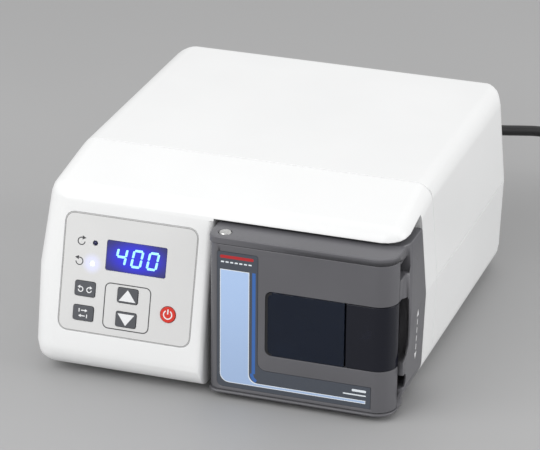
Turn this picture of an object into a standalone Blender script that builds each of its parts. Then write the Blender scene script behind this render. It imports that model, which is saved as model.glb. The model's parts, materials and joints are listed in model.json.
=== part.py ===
"""Bench-top peristaltic tubing pump.

Run it with blender --background --python part.py, or from Blender's text editor.
The pump stands on z = 0 with its keypad facing -Y. Every named size is in millimetres,
and each mesh is turned into metres when its object is made.
"""

import math

import bmesh
import bpy
from mathutils import Matrix, Vector

# ---------------------------------------------------------------- driving dimensions
GAP = 0.3
WALL = 2.6

# Case: a rounded block whose front leans back and whose hood slopes down to the nose
HALF_WIDTH_TOP = 110.1
HALF_WIDTH_PARTING = 115.0
HALF_WIDTH_BOTTOM = 113.0
CASE_BOTTOM = 5.0
CASE_TOP = 121.6
CASE_BACK = 126.5
PARTING_Z = 62.5
SEAM_Y = -46.4
SEAM_HALF_GAP = 0.25
FRONT_TILT = math.radians(14.4)
FRONT_BASE_Y = -128.0
FRONT_BASE_Z = 12.5
HOOD_SLOPE = math.radians(9.3)

# Radii of the case's rounded edges
FRONT_CORNER_R = 14.0
FRONT_FOOT_R = 16.0
REAR_CORNER_R = 20.0
REAR_TOP_R = 4.5
TOP_EDGE_R = 10.0
LONG_EDGE_R = 12.0

# Keypad panel, in its own frame: x to the right, y up the slope, z out of the case
PANEL_X = -55.0
PANEL_Z = 64.25
PANEL_SIZE = (83.8, 71.9)
PANEL_R = 6.0
POCKET_DEPTH = 1.0
EDGE_ROUNDING_TOP = 41.5
OVERLAY_THICKNESS = 0.6
KEY_SIZE = (12.7, 8.9)
KEY_R = 1.3
KEY_PLACES = {
    "key_direction": (-26.0, -9.5),
    "key_int_ext": (-26.0, -24.2),
    "key_up": (1.0, -10.0),
    "key_down": (1.0, -24.4),
}
POWER_PLACE = (26.9, -17.4)
POWER_R = 4.75
DISPLAY_PLACE = (4.4, 12.7)
DISPLAY_SIZE = (37.3, 17.8)
LED_PLACES = {"led_clockwise": (-21.9, 18.6), "led_counterclockwise": (-22.9, 6.2)}
LED_R = 1.4
KEY_TRAVEL = 0.5
BOARD_DEPTH = 13.0
BOARD_THICKNESS = 1.6

# Pump head
HEAD_LEFT = -2.6
HEAD_BACK = -70.0
HEAD_BOTTOM = 3.9
HEAD_TOP = 104.0
HEAD_FRONT = -122.86
BODY_FRONT = -110.2
DOOR_RIGHT = 110.5
DOOR_CORNER_R = 12.0
DOOR_BOTTOM = 6.35
DOOR_TOP = 99.65
DOOR_BACK = -110.6
FLANGE_BOTTOM = 6.0
FLANGE_TOP = 100.0
RECESS_LEFT = -5.0
RECESS_BACK = -69.5
HOOD_EDGE_Y = -104.0
HOOD_EDGE_Z = 105.8
CAVITY_X = (1.0, 106.5)
CAVITY_HALF_HEIGHT = 43.2
CAVITY_FLOOR = -95.0
FLOOR_THICKNESS = 3.5

# Door hinge at the left, latch handle at the right, window between them
HINGE_XY = (6.0, -114.5)
KNUCKLE_R = 8.4
PIN_R = 2.5
PIN_HEAD_R = 3.7
WINDOW_X = (33.35, 81.4)
HANDLE_LEFT = 82.4
OPENING_Z = (32.8, 73.9)
LATCH_XY = (97.0, -117.2)
LATCH_PIN_R = 1.6
LABEL_X = (3.6, 29.0)
LABEL_Z = (8.4, 95.5)
LABEL_FOOT = (98.2, 22.8)

# Rotor, rollers and bed, about the shaft's axis along Y
AXIS_X = 54.5
AXIS_Z = 52.5
ROLLER_COUNT = 3
ROLLER_R = 8.0
ROLLER_CIRCLE_R = 28.5
ROLLER_PIN_R = 2.2
DISC_R = 34.0
TRACK_R = 39.5
SHAFT_R = 5.0
ROTOR_Y = (-113.8, -97.0)
DISC_THICKNESS = 2.3
BED_Y = (-109.8, -98.0)

# Drive behind the head
GEAR_MODULE = 1.25
GEAR_TEETH = 48
PINION_TEETH = 12
GEAR_Y = (-44.0, -36.0)
BRACKET_Y = (-30.8, -27.8)
MOTOR_SIZE = 57.0

# Back of the case
REAR_OPENING = (172.0, 64.0)
REAR_PANEL = (182.0, 74.0)
REAR_Z = 57.5
PANEL_Y = (121.4, 123.4)
INLET_X = 62.0
REMOTE_X = -40.0
REMOTE_END = 126.4

FOOT_PLACES = {
    "foot_front_left": (-88.0, -34.0),
    "foot_front_right": (88.0, -34.0),
    "foot_rear_left": (-88.0, 100.0),
    "foot_rear_right": (88.0, 100.0),
}
SCREW_PLACES = {
    "case_screw_front_left": (-70.0, -34.0),
    "case_screw_front_right": (70.0, -34.0),
    "case_screw_rear_left": (-70.0, 100.0),
    "case_screw_rear_right": (70.0, 100.0),
}

# Mains lead: its run to the coil, and the coil that holds the rest of its length
CORD_D = 7.0
CORD_ROUTE = (
    (62, 177, 57.5),
    (62, 190, 57.3),
    (65, 202, 55.8),
    (74, 212, 53.4),
    (85.5, 219, 51.2),
    (97.3, 225.2, 50.2),
    (108.2, 231, 48.9),
    (124, 238, 45.5),
    (142, 243, 38),
    (159, 245, 27.5),
    (175, 244.5, 16.5),
    (190, 243, 8.5),
    (199, 242.2, 5.2),
)
COIL_CENTRE = (225.0, 195.0)
COIL_RING_R = (27.7, 49.3)
COIL_HEIGHT = 14.4
TAIL_ROUTE = (
    (270.5, 168.4, 11.3),
    (270.5, 162, 11.6),
    (270.5, 156, 11.9),
    (270.5, 150.4, 12.0),
)
PLUG_PLACE = (270.5, 150.0, 12.0)

PLACES = {
    "X": lambda a, b, c: (c, a, b),
    "Y": lambda a, b, c: (a, c, b),
    "Z": lambda a, b, c: (a, b, c),
}


# ---------------------------------------------------------------- modelling helpers
def clear_scene():
    for obj in list(bpy.data.objects):
        bpy.data.objects.remove(obj, do_unlink=True)


def arc(centre, radius, start, end, steps):
    """Points along a circle, angles in degrees, both ends included."""
    angles = [math.radians(start + (end - start) * i / steps) for i in range(steps + 1)]
    return [
        (centre[0] + radius * math.cos(a), centre[1] + radius * math.sin(a)) for a in angles
    ]


def circle(centre, radius, steps=24):
    return arc(centre, radius, 0, 360, steps)[:-1]


def rounded_rectangle(centre, size, radius, steps=3):
    """A rectangle's outline with round corners, anticlockwise."""
    half_x = size[0] / 2 - radius
    half_y = size[1] / 2 - radius
    corners = ((1, 1, 0), (-1, 1, 90), (-1, -1, 180), (1, -1, 270))
    outline = []
    for side_x, side_y, start in corners:
        corner = (centre[0] + side_x * half_x, centre[1] + side_y * half_y)
        outline += arc(corner, radius, start, start + 90, steps)
    return outline


def prism(outline, axis, low, high):
    """A closed prism along an axis; the outline is in the other two axes, in X, Y, Z order."""
    bm = bmesh.new()
    place = PLACES[axis]
    face = bm.faces.new([bm.verts.new(place(a, b, low)) for a, b in outline])
    made = bmesh.ops.extrude_face_region(bm, geom=[face])["geom"]
    ends = [item for item in made if isinstance(item, bmesh.types.BMVert)]
    bmesh.ops.translate(bm, verts=ends, vec=place(0, 0, high - low))
    bmesh.ops.recalc_face_normals(bm, faces=bm.faces)
    return bm


def block(x, y, z):
    """A box from three (low, high) pairs."""
    outline = [(x[0], y[0]), (x[1], y[0]), (x[1], y[1]), (x[0], y[1])]
    return prism(outline, "Z", z[0], z[1])


def cylinder(centre, radius, axis, low, high, steps=24):
    return prism(circle(centre, radius, steps), axis, low, high)


def turned(profile, centre, axis, steps=24):
    """A closed solid of revolution. The profile is a loop of (radius, height) points."""
    bm = bmesh.new()
    verts = [bm.verts.new((radius, 0, height)) for radius, height in profile]
    for first, second in zip(verts, verts[1:] + verts[:1]):
        if first.co.x > 0 or second.co.x > 0:
            bm.edges.new((first, second))
    bmesh.ops.spin(
        bm,
        geom=list(bm.verts) + list(bm.edges),
        axis=(0, 0, 1),
        cent=(0, 0, 0),
        angle=math.tau,
        steps=steps,
        use_merge=True,
    )
    bmesh.ops.remove_doubles(bm, verts=bm.verts, dist=0.0001)
    turn = {
        "X": Matrix.Rotation(math.pi / 2, 4, "Y"),
        "Y": Matrix.Rotation(-math.pi / 2, 4, "X"),
        "Z": Matrix.Identity(4),
    }[axis]
    bmesh.ops.transform(bm, verts=bm.verts, matrix=Matrix.Translation(centre) @ turn)
    bmesh.ops.recalc_face_normals(bm, faces=bm.faces)
    return bm


def moved(bm, matrix):
    bmesh.ops.transform(bm, verts=bm.verts, matrix=matrix)
    return bm


def as_object(bm, name):
    mesh = bpy.data.meshes.new(name)
    bm.to_mesh(mesh)
    bm.free()
    obj = bpy.data.objects.new(name, mesh)
    bpy.context.scene.collection.objects.link(obj)
    return obj


def evaluated(obj):
    """The object's mesh with its modifiers, as a new bmesh. The object is removed."""
    graph = bpy.context.evaluated_depsgraph_get()
    shown = obj.evaluated_get(graph)
    bm = bmesh.new()
    bm.from_mesh(shown.to_mesh())
    shown.to_mesh_clear()
    bpy.data.objects.remove(obj, do_unlink=True)
    return bm


def combined(base, tool, operation):
    """A Boolean of two closed meshes, both of which are used up."""
    base_object = as_object(base, "base")
    tool_object = as_object(tool, "tool")
    modifier = base_object.modifiers.new("combine", "BOOLEAN")
    modifier.operation = operation
    modifier.solver = "EXACT"
    modifier.object = tool_object
    result = evaluated(base_object)
    bpy.data.objects.remove(tool_object, do_unlink=True)
    return result


def cut(base, *tools):
    for tool in tools:
        base = combined(base, tool, "DIFFERENCE")
    return base


def joined(base, *others):
    for other in others:
        base = combined(base, other, "UNION")
    return base


def common(base, tool):
    return combined(base, tool, "INTERSECT")


def material(name, colour, roughness, metallic=0.0, alpha=1.0):
    found = bpy.data.materials.get(name) or bpy.data.materials.new(name)
    found.use_nodes = True
    shader = found.node_tree.nodes["Principled BSDF"]
    shader.inputs["Base Color"].default_value = (*colour, 1.0)
    shader.inputs["Roughness"].default_value = roughness
    shader.inputs["Metallic"].default_value = metallic
    shader.inputs["Alpha"].default_value = alpha
    found.diffuse_color = (*colour, alpha)
    return found


def white_plastic():
    return material("white_plastic", (0.86, 0.86, 0.85), 0.42)


def dark_plastic():
    return material("dark_plastic", (0.075, 0.075, 0.08), 0.45)


def black_plastic():
    return material("black_plastic", (0.02, 0.02, 0.022), 0.4)


def steel():
    return material("steel", (0.62, 0.62, 0.6), 0.3, 1.0)


def aluminium():
    return material("aluminium", (0.78, 0.78, 0.8), 0.38, 1.0)


def rubber():
    return material("rubber", (0.03, 0.03, 0.03), 0.8)


def circuit_board():
    return material("circuit_board", (0.02, 0.16, 0.06), 0.5)


def piece(name, bm, finish, origin=(0, 0, 0), sharp_angle=30):
    """Makes the named object in metres, with its origin at a place given in millimetres."""
    bmesh.ops.translate(bm, verts=bm.verts, vec=-Vector(origin))
    bmesh.ops.scale(bm, verts=bm.verts, vec=(0.001, 0.001, 0.001))
    bm.normal_update()
    obj = as_object(bm, name)
    obj.location = Vector(origin) / 1000
    obj.data.materials.append(finish)
    obj.data.shade_smooth()
    obj.data.set_sharp_from_angle(angle=math.radians(sharp_angle))
    return obj


# ---------------------------------------------------------------- case
def half_width(z):
    """Half the case's width at a height; both sides draw in from the parting line."""
    if z > PARTING_Z:
        share = (z - PARTING_Z) / (CASE_TOP - PARTING_Z)
        return HALF_WIDTH_PARTING + share * (HALF_WIDTH_TOP - HALF_WIDTH_PARTING)
    share = (PARTING_Z - z) / (PARTING_Z - CASE_BOTTOM)
    return HALF_WIDTH_PARTING + share * (HALF_WIDTH_BOTTOM - HALF_WIDTH_PARTING)


def edge_offset(radius, inner_angle):
    """How far from an edge its rounding of a given radius starts."""
    return radius / math.tan(inner_angle / 2)


def case_block(inset, segments):
    """The case's outer block, or the face of its inside when it is inset by the wall."""
    lean = math.tan(FRONT_TILT)
    drop = math.tan(HOOD_SLOPE)
    bottom = CASE_BOTTOM + inset
    top = CASE_TOP - inset
    back = CASE_BACK - inset
    front_shift = FRONT_BASE_Y + inset / math.cos(FRONT_TILT)
    hood_lift = CASE_TOP - inset / math.cos(HOOD_SLOPE)
    crest_y = SEAM_Y + (top - hood_lift) / drop
    nose_z = (hood_lift + drop * (front_shift - lean * FRONT_BASE_Z - SEAM_Y)) / (1 - drop * lean)
    outline = [
        (front_shift + lean * (bottom - FRONT_BASE_Z), bottom),
        (front_shift + lean * (PARTING_Z - FRONT_BASE_Z), PARTING_Z),
        (front_shift + lean * (nose_z - FRONT_BASE_Z), nose_z),
        (crest_y, top),
        (back, top),
        (back, PARTING_Z),
        (back, bottom),
    ]
    bm = bmesh.new()
    sides = []
    for sign in (-1, 1):
        sides.append([bm.verts.new((sign * (half_width(z) - inset), y, z)) for y, z in outline])
    left, right = sides
    count = len(outline)
    for i in range(count):
        j = (i + 1) % count
        bm.faces.new((left[i], left[j], right[j], right[i]))
    for side in sides:
        bm.faces.new(side[1:6])
        bm.faces.new((side[0], side[1], side[5], side[6]))
    bmesh.ops.recalc_face_normals(bm, faces=bm.faces)

    front_angle = math.pi / 2 - FRONT_TILT
    nose_angle = math.pi / 2 + FRONT_TILT + HOOD_SLOPE
    square = math.pi / 2
    across = {
        0: edge_offset(LONG_EDGE_R - inset, front_angle),
        2: edge_offset(LONG_EDGE_R - inset, nose_angle),
        4: edge_offset(REAR_TOP_R - inset, square),
        6: edge_offset(LONG_EDGE_R - inset, square),
    }
    along = {
        0: FRONT_FOOT_R - inset,
        1: FRONT_CORNER_R - inset,
        2: TOP_EDGE_R - inset,
        3: TOP_EDGE_R - inset,
        4: REAR_CORNER_R - inset,
        5: REAR_CORNER_R - inset,
        6: LONG_EDGE_R - inset,
    }
    widest = max([*across.values(), *along.values()])
    weights = bm.edges.layers.float.new("bevel_weight_edge")
    for i, offset in across.items():
        bm.edges.get((left[i], right[i]))[weights] = offset / widest
    for side in sides:
        for i, offset in along.items():
            bm.edges.get((side[i], side[(i + 1) % count]))[weights] = offset / widest
    obj = as_object(bm, "case_block")
    bevel = obj.modifiers.new("round", "BEVEL")
    bevel.limit_method = "WEIGHT"
    bevel.width = widest
    bevel.segments = segments
    bevel.use_clamp_overlap = False
    return evaluated(obj)


def case_shell():
    return cut(case_block(0, 6), case_block(WALL, 3))


def head_recess(margin):
    """The space under the hood that the pump head fills, grown by a margin."""
    front = -160.0
    slope = math.tan(HOOD_SLOPE)
    outline = [
        (front, -20.0),
        (RECESS_BACK + margin, -20.0),
        (RECESS_BACK + margin, HOOD_EDGE_Z + margin + slope * (RECESS_BACK + margin - HOOD_EDGE_Y)),
        (front, HOOD_EDGE_Z + margin + slope * (front - HOOD_EDGE_Y)),
    ]
    return prism(outline, "X", RECESS_LEFT - margin, 140.0)


def panel_frame():
    """The keypad's own frame: its centre lies on the sloping front face."""
    lean = math.tan(FRONT_TILT)
    centre = (PANEL_X, FRONT_BASE_Y + lean * (PANEL_Z - FRONT_BASE_Z), PANEL_Z)
    sine = math.sin(FRONT_TILT)
    cosine = math.cos(FRONT_TILT)
    turn = Matrix(((1, 0, 0), (0, sine, -cosine), (0, cosine, sine))).to_4x4()
    return Matrix.Translation(centre) @ turn


def on_panel(place, depth=0.0):
    return panel_frame() @ Vector((place[0], place[1], depth))


def panel_openings(clearance, low, high):
    """Cutters for the display, the keys and the lamps, in the panel's frame."""
    outlines = [
        rounded_rectangle(
            DISPLAY_PLACE, [side + 2 * clearance for side in DISPLAY_SIZE], 0.8, 1
        )
    ]
    for place in KEY_PLACES.values():
        size = [side + 2 * clearance for side in KEY_SIZE]
        outlines.append(rounded_rectangle(place, size, KEY_R, 2))
    outlines.append(circle(POWER_PLACE, POWER_R + clearance, 24))
    outlines += [circle(place, LED_R + clearance, 10) for place in LED_PLACES.values()]
    return [prism(outline, "Z", low, high) for outline in outlines]


def make_front_bezel():
    front_half = block((-150, 150), (-150, SEAM_Y - SEAM_HALF_GAP), (-20, 150))
    inside = cut(case_block(WALL, 3), head_recess(WALL))
    bezel = cut(common(case_block(0, 6), front_half), inside, head_recess(0))
    frame = panel_frame()
    pocket = prism(rounded_rectangle((0, 0), PANEL_SIZE, PANEL_R, 4), "Z", -POCKET_DEPTH, 3)
    bezel = cut(bezel, moved(pocket, frame))
    for opening in panel_openings(GAP, -6, 3):
        bezel = cut(bezel, moved(opening, frame))
    drive_hole = cylinder((AXIS_X, AXIS_Z), 20.0, "Y", RECESS_BACK - 5, RECESS_BACK + 8)
    rounding = [(0.5, 0.5), (-4, 0.5), *arc((-4, -4), 4, 90, 0, 5), (0.5, -4)]
    edge = prism(rounding, "Y", -80, EDGE_ROUNDING_TOP)
    edge_frame = Matrix.Translation(on_panel((RECESS_LEFT - PANEL_X, 0))) @ frame.to_3x3().to_4x4()
    piece("front_bezel", cut(bezel, drive_hole, moved(edge, edge_frame)), white_plastic())


def rear_opening():
    outline = rounded_rectangle((0, REAR_Z), REAR_OPENING, 4, 2)
    return prism(outline, "Y", CASE_BACK - 10, CASE_BACK + 10)


def make_top_cover():
    half = block((-150, 150), (SEAM_Y + SEAM_HALF_GAP, 150), (PARTING_Z + 0.2, 150))
    piece("top_cover", cut(common(case_shell(), half), rear_opening()), white_plastic())


def make_base_tray():
    half = block((-150, 150), (SEAM_Y + SEAM_HALF_GAP, 150), (-20, PARTING_Z - 0.2))
    tray = cut(common(case_shell(), half), rear_opening())
    for place in FOOT_PLACES.values():
        tray = cut(tray, cylinder(place, 2.9, "Z", 0, 12, 12))
    for place in SCREW_PLACES.values():
        tray = cut(tray, cylinder(place, 2.0, "Z", 0, 12, 12))
    piece("base_tray", tray, white_plastic())


def make_feet():
    profile = [(0, 0), (8.0, 0), (9.0, 1.0), (8.4, 4.7), (2.6, 4.7), (2.6, 9.0), (0, 9.0)]
    for name, place in FOOT_PLACES.items():
        piece(name, turned(profile, (*place, 0), "Z", 20), rubber())


def make_case_screws():
    profile = [(0, 2.6), (3.0, 2.6), (3.4, 3.2), (3.4, 4.6), (1.7, 4.6), (1.7, 14), (0, 14)]
    for name, place in SCREW_PLACES.items():
        piece(name, turned(profile, (*place, 0), "Z", 12), steel())


def make_rear_panel():
    panel = prism(rounded_rectangle((0, REAR_Z), REAR_PANEL, 3, 1), "Y", *PANEL_Y)
    inlet_hole = prism(rounded_rectangle((INLET_X, REAR_Z), (27.8, 20.4), 1, 1), "Y", 110, 130)
    remote_hole = prism(rounded_rectangle((REMOTE_X, REAR_Z), (27, 10.6), 1, 1), "Y", 110, 130)
    panel = cut(panel, inlet_hole, remote_hole)
    for i in range(7):
        slot = rounded_rectangle((-8 + 7.0 * i, REAR_Z), (3, 30), 1.4, 2)
        panel = cut(panel, prism(slot, "Y", 110, 130))
    piece("rear_panel", panel, material("panel_grey", (0.3, 0.3, 0.31), 0.5))


# ---------------------------------------------------------------- keypad side
def make_keypad_overlay():
    size = (PANEL_SIZE[0] - 2 * GAP, PANEL_SIZE[1] - 2 * GAP)
    low = -POCKET_DEPTH + GAP
    overlay = prism(
        rounded_rectangle((0, 0), size, PANEL_R - GAP, 4), "Z", low, low + OVERLAY_THICKNESS
    )
    for opening in panel_openings(GAP, -6, 3):
        overlay = cut(overlay, opening)
    finish = material("overlay_grey", (0.74, 0.74, 0.74), 0.5)
    piece("keypad_overlay", moved(overlay, panel_frame()), finish)


def make_keys():
    """Each key is a cap through the bezel with a wider foot behind it that stops it falling out."""
    foot_low = -WALL - 2.2
    foot_high = -WALL - GAP
    for name, place in KEY_PLACES.items():
        foot_size = (KEY_SIZE[0] + 1.6, KEY_SIZE[1] + 1.6)
        key = joined(
            prism(rounded_rectangle(place, KEY_SIZE, KEY_R - 0.1, 3), "Z", foot_low, 0.4),
            prism(rounded_rectangle(place, foot_size, 0.6, 1), "Z", foot_low - 0.5, foot_high),
        )
        finish = material("key_grey", (0.12, 0.12, 0.13), 0.45)
        piece(name, moved(key, panel_frame()), finish, on_panel(place))
    key = joined(
        cylinder(POWER_PLACE, POWER_R, "Z", foot_low, 0.4, 24),
        cylinder(POWER_PLACE, POWER_R + 0.8, "Z", foot_low - 0.5, foot_high, 24),
    )
    finish = material("key_red", (0.75, 0.05, 0.05), 0.4)
    piece("key_power", moved(key, panel_frame()), finish, on_panel(POWER_PLACE))


def make_display():
    frame = panel_frame()
    window = prism(rounded_rectangle(DISPLAY_PLACE, DISPLAY_SIZE, 0.6, 1), "Z", -2.2, -0.1)
    piece("display_window", moved(window, frame), material("blue_window", (0.02, 0.04, 0.3), 0.15))
    size = (DISPLAY_SIZE[0] - 1.0, DISPLAY_SIZE[1] + 0.4)
    module = prism(rounded_rectangle(DISPLAY_PLACE, size, 0.3, 1), "Z", -BOARD_DEPTH + GAP, -3.2)
    piece("display_module", moved(module, frame), material("display_body", (0.03, 0.03, 0.05), 0.5))
    lamps = {
        "led_clockwise": (0.02, 0.03, 0.2),
        "led_counterclockwise": (0.3, 0.5, 1.0),
    }
    for name, place in LED_PLACES.items():
        lamp = turned(
            [(0, -8.0), (1.9, -8.0), (1.9, -3.6), (LED_R, -3.2), (LED_R, -0.3), (0.8, 0.1), (0, 0.2)],
            (*place, 0),
            "Z",
            10,
        )
        piece(name, moved(lamp, frame), material(name, lamps[name], 0.2))


def make_control_board():
    top = -BOARD_DEPTH
    board = prism(rounded_rectangle((0, 0), (80, 66), 1, 1), "Z", top - BOARD_THICKNESS, top)
    switch_top = -WALL - 2.7 - KEY_TRAVEL - GAP
    for place in [*KEY_PLACES.values(), POWER_PLACE]:
        switch = rounded_rectangle(place, (6, 6), 0.4, 1)
        board = joined(board, prism(switch, "Z", top - 0.5, switch_top))
    for x in (-30, -8, 18):
        chip = rounded_rectangle((x, -4), (12, 9), 0.4, 1)
        board = joined(board, prism(chip, "Z", top - BOARD_THICKNESS - 3, top - 0.5))
    piece("control_board", moved(board, panel_frame()), circuit_board())


# ---------------------------------------------------------------- pump head
def head_plan(inset, back):
    """The head's plan outline: square at the left, rounded at the front right."""
    corner = (DOOR_RIGHT - DOOR_CORNER_R, HEAD_FRONT + DOOR_CORNER_R)
    return [
        (HEAD_LEFT + inset, back),
        (HEAD_LEFT + inset, HEAD_FRONT + inset + 6),
        *arc((HEAD_LEFT + inset + 6, HEAD_FRONT + inset + 6), 6, 180, 270, 3)[1:],
        *arc(corner, DOOR_CORNER_R - inset, 270, 360, 8),
        (DOOR_RIGHT - inset, back),
    ]


def port_notch(y, z, lower_r, upper_r):
    """A notch in the head's right wall, open to the front, with round inner corners."""
    outline = [
        (BODY_FRONT - 20, z[0]),
        *arc((y - lower_r, z[0] + lower_r), lower_r, 270, 360, 4),
        *arc((y - upper_r, z[1] - upper_r), upper_r, 0, 90, 4),
        (BODY_FRONT - 20, z[1]),
    ]
    return prism(outline, "X", CAVITY_X[1] - 4, 130)


def port_relief(x, z):
    """A pocket that thins the right wall behind a notch."""
    return block((CAVITY_X[1] - 1, x), (BODY_FRONT - 1, CAVITY_FLOOR - 0.6), z)


def make_head_housing():
    region = block((HEAD_LEFT + 0.4, 130), (-140, HEAD_BACK), (-20, HEAD_TOP - 0.5))
    body = common(case_block(0, 6), region)
    nose = prism(head_plan(0, -100.0), "Z", HEAD_BOTTOM, HEAD_TOP)
    housing = joined(body, nose)
    cavity_z = (AXIS_Z - CAVITY_HALF_HEIGHT, AXIS_Z + CAVITY_HALF_HEIGHT)
    bay = block((-20, 130), (-160, BODY_FRONT), (FLANGE_BOTTOM, FLANGE_TOP))
    knuckle = cylinder(HINGE_XY, KNUCKLE_R + 0.4, "Z", FLANGE_BOTTOM, FLANGE_TOP, 24)
    cavity = block(CAVITY_X, (BODY_FRONT - 1, CAVITY_FLOOR), cavity_z)
    hollow = block((1.0, 107.5), (CAVITY_FLOOR + FLOOR_THICKNESS, -60), (9.5, 98.5))
    bore = cylinder((AXIS_X, AXIS_Z), 18.4, "Y", -100, -80)
    housing = cut(housing, bay, knuckle, cavity, hollow, bore)
    housing = cut(
        housing,
        port_notch(-100.5, (87.0, 97.5), 4.5, 4.5),
        port_notch(-101.5, (34.5, 74.0), 14.0, 2.5),
        port_notch(-104.0, (18.0, 27.0), 4.0, 4.0),
        port_relief(112.2, (87.0, 97.5)),
        port_relief(113.0, (34.5, 74.0)),
        port_relief(112.0, (18.0, 27.0)),
        cylinder(HINGE_XY, PIN_HEAD_R + GAP, "Z", 98, 108, 16),
        cylinder(HINGE_XY, PIN_R + GAP, "Z", 0, 8, 16),
    )
    piece("head_housing", housing, dark_plastic())


def make_hinge_pin():
    top = HEAD_TOP + 0.2
    profile = [
        (0, 4.2),
        (PIN_R, 4.2),
        (PIN_R, FLANGE_TOP - 0.1),
        (PIN_HEAD_R, FLANGE_TOP + 0.1),
        (PIN_HEAD_R, top - 0.5),
        (PIN_HEAD_R - 0.5, top),
        (0, top),
    ]
    piece("hinge_pin", turned(profile, (*HINGE_XY, 0), "Z", 16), steel())


def door_plan(back):
    """The door's plan: a knuckle round the hinge pin at the left, a round corner at the right."""
    corner = (DOOR_RIGHT - DOOR_CORNER_R, HEAD_FRONT + DOOR_CORNER_R)
    return [
        (HINGE_XY[0] - KNUCKLE_R, HINGE_XY[1]),
        *arc(HINGE_XY, KNUCKLE_R, 180, 270, 6)[1:],
        *arc(corner, DOOR_CORNER_R, 270, 360, 8),
        (DOOR_RIGHT, back),
        *arc(HINGE_XY, back - HINGE_XY[1], 90, 180, 4),
    ]


def make_pump_door():
    door = prism(door_plan(DOOR_BACK), "Z", DOOR_BOTTOM, DOOR_TOP)
    corner = (DOOR_RIGHT - DOOR_CORNER_R, HEAD_FRONT + DOOR_CORNER_R)
    inner_front = HEAD_FRONT + 3.2
    hollow_plan = [
        (14.5, DOOR_BACK + 5),
        (14.5, inner_front),
        *arc(corner, DOOR_CORNER_R - 3.2, 270, 360, 6),
        (DOOR_RIGHT - 3.2, DOOR_BACK + 5),
    ]
    hollow = prism(hollow_plan, "Z", DOOR_BOTTOM + 3.2, DOOR_TOP - 3.2)
    door = cut(door, hollow)
    low, high = OPENING_Z
    for z in ((low - 8, low - 0.2), (high + 0.2, high + 8)):
        boss = cylinder((LATCH_XY[0], LATCH_XY[1] + 1.0), 4.6, "Z", *z, 16)
        web = block((LATCH_XY[0] - 4, LATCH_XY[0] + 4), (inner_front - 1, LATCH_XY[1]), z)
        door = joined(door, boss, web)
    window = prism(
        [
            *arc((WINDOW_X[0] + 4, low + 4), 4, 180, 270, 4),
            (130, low),
            (130, high),
            *arc((WINDOW_X[0] + 4, high - 4), 4, 90, 180, 4),
        ],
        "Y",
        -140,
        DOOR_BACK + 10,
    )
    door = cut(
        door,
        window,
        cylinder(HINGE_XY, PIN_R + GAP, "Z", 0, 110, 16),
        cylinder(LATCH_XY, LATCH_PIN_R + GAP, "Z", low - 6, high + 6, 12),
    )
    pocket = prism(label_outline(0.0), "Y", -140, HEAD_FRONT + 0.7)
    door = cut(door, pocket)
    piece("pump_door", door, dark_plastic(), (*HINGE_XY, 0))


def label_outline(inset):
    """The label's outline: a field beside the hinge and a foot along the door's bottom."""
    (left, right), (bottom, top) = LABEL_X, LABEL_Z
    foot_right, foot_top = LABEL_FOOT
    return [
        *arc((left + 3.5, bottom + 3.5), 3.5 - inset, 180, 270, 3),
        (foot_right - inset, bottom + inset),
        (foot_right - inset, foot_top - inset),
        *arc((right + 5, foot_top + 5), 5 + inset, 270, 180, 4),
        *arc((right - 1.5, top - 1.5), 1.5 - inset, 0, 90, 2),
        *arc((left + 1.5, top - 1.5), 1.5 - inset, 90, 180, 2),
    ]


def make_door_label():
    label = prism(label_outline(GAP), "Y", HEAD_FRONT + 0.05, HEAD_FRONT + 0.4)
    piece("door_label", label, material("label_blue", (0.35, 0.55, 0.85), 0.4), (*HINGE_XY, 0))


def make_door_window():
    low, high = OPENING_Z
    outline = [
        *arc((WINDOW_X[0] + 4, low + 4), 4 - GAP, 180, 270, 4),
        (WINDOW_X[1], low + GAP),
        (WINDOW_X[1], high - GAP),
        *arc((WINDOW_X[0] + 4, high - 4), 4 - GAP, 90, 180, 4),
    ]
    window = prism(outline, "Y", HEAD_FRONT + 0.1, HEAD_FRONT + 2.5)
    finish = material("smoked_window", (0.02, 0.025, 0.035), 0.12, 0.0, 0.7)
    piece("door_window", window, finish, (*HINGE_XY, 0))


def make_latch_handle():
    corner = (DOOR_RIGHT - DOOR_CORNER_R, HEAD_FRONT + DOOR_CORNER_R)
    outer = HEAD_FRONT + 0.1
    plan = [
        (HANDLE_LEFT, outer),
        *arc(corner, DOOR_CORNER_R - 0.1, 270, 360, 8),
        (DOOR_RIGHT - 0.1, DOOR_BACK),
        (DOOR_RIGHT - 3.0, DOOR_BACK),
        *arc(corner, DOOR_CORNER_R - 3.0, 360, 270, 6),
        (HANDLE_LEFT, outer + 2.9),
    ]
    low = OPENING_Z[0] + GAP
    high = OPENING_Z[1] - GAP
    handle = prism(plan, "Z", low, high)
    handle = joined(handle, cylinder(LATCH_XY, 3.5, "Z", low, high, 16))
    for z in ((low + 1, low + 5), (high - 5, high - 1)):
        arm = [
            (LATCH_XY[0] - 1.6, LATCH_XY[1]),
            (LATCH_XY[0] + 2.2, LATCH_XY[1]),
            (LATCH_XY[0] + 2.2, -102.6),
            (LATCH_XY[0] - 1.6, -102.6),
            (LATCH_XY[0] - 3.0, -104.2),
            (LATCH_XY[0] - 3.0, -105.2),
            (LATCH_XY[0] - 1.6, -105.8),
        ]
        handle = joined(handle, prism(arm, "Z", *z))
    handle = cut(handle, cylinder(LATCH_XY, LATCH_PIN_R + GAP, "Z", 0, 110, 12))
    piece("latch_handle", handle, black_plastic(), (*LATCH_XY, 0))


def make_latch_pin():
    low, high = OPENING_Z
    pin = cylinder(LATCH_XY, LATCH_PIN_R, "Z", low - 5.5, high + 5.5, 12)
    piece("latch_pin", pin, steel(), (*LATCH_XY, 0))


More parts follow.
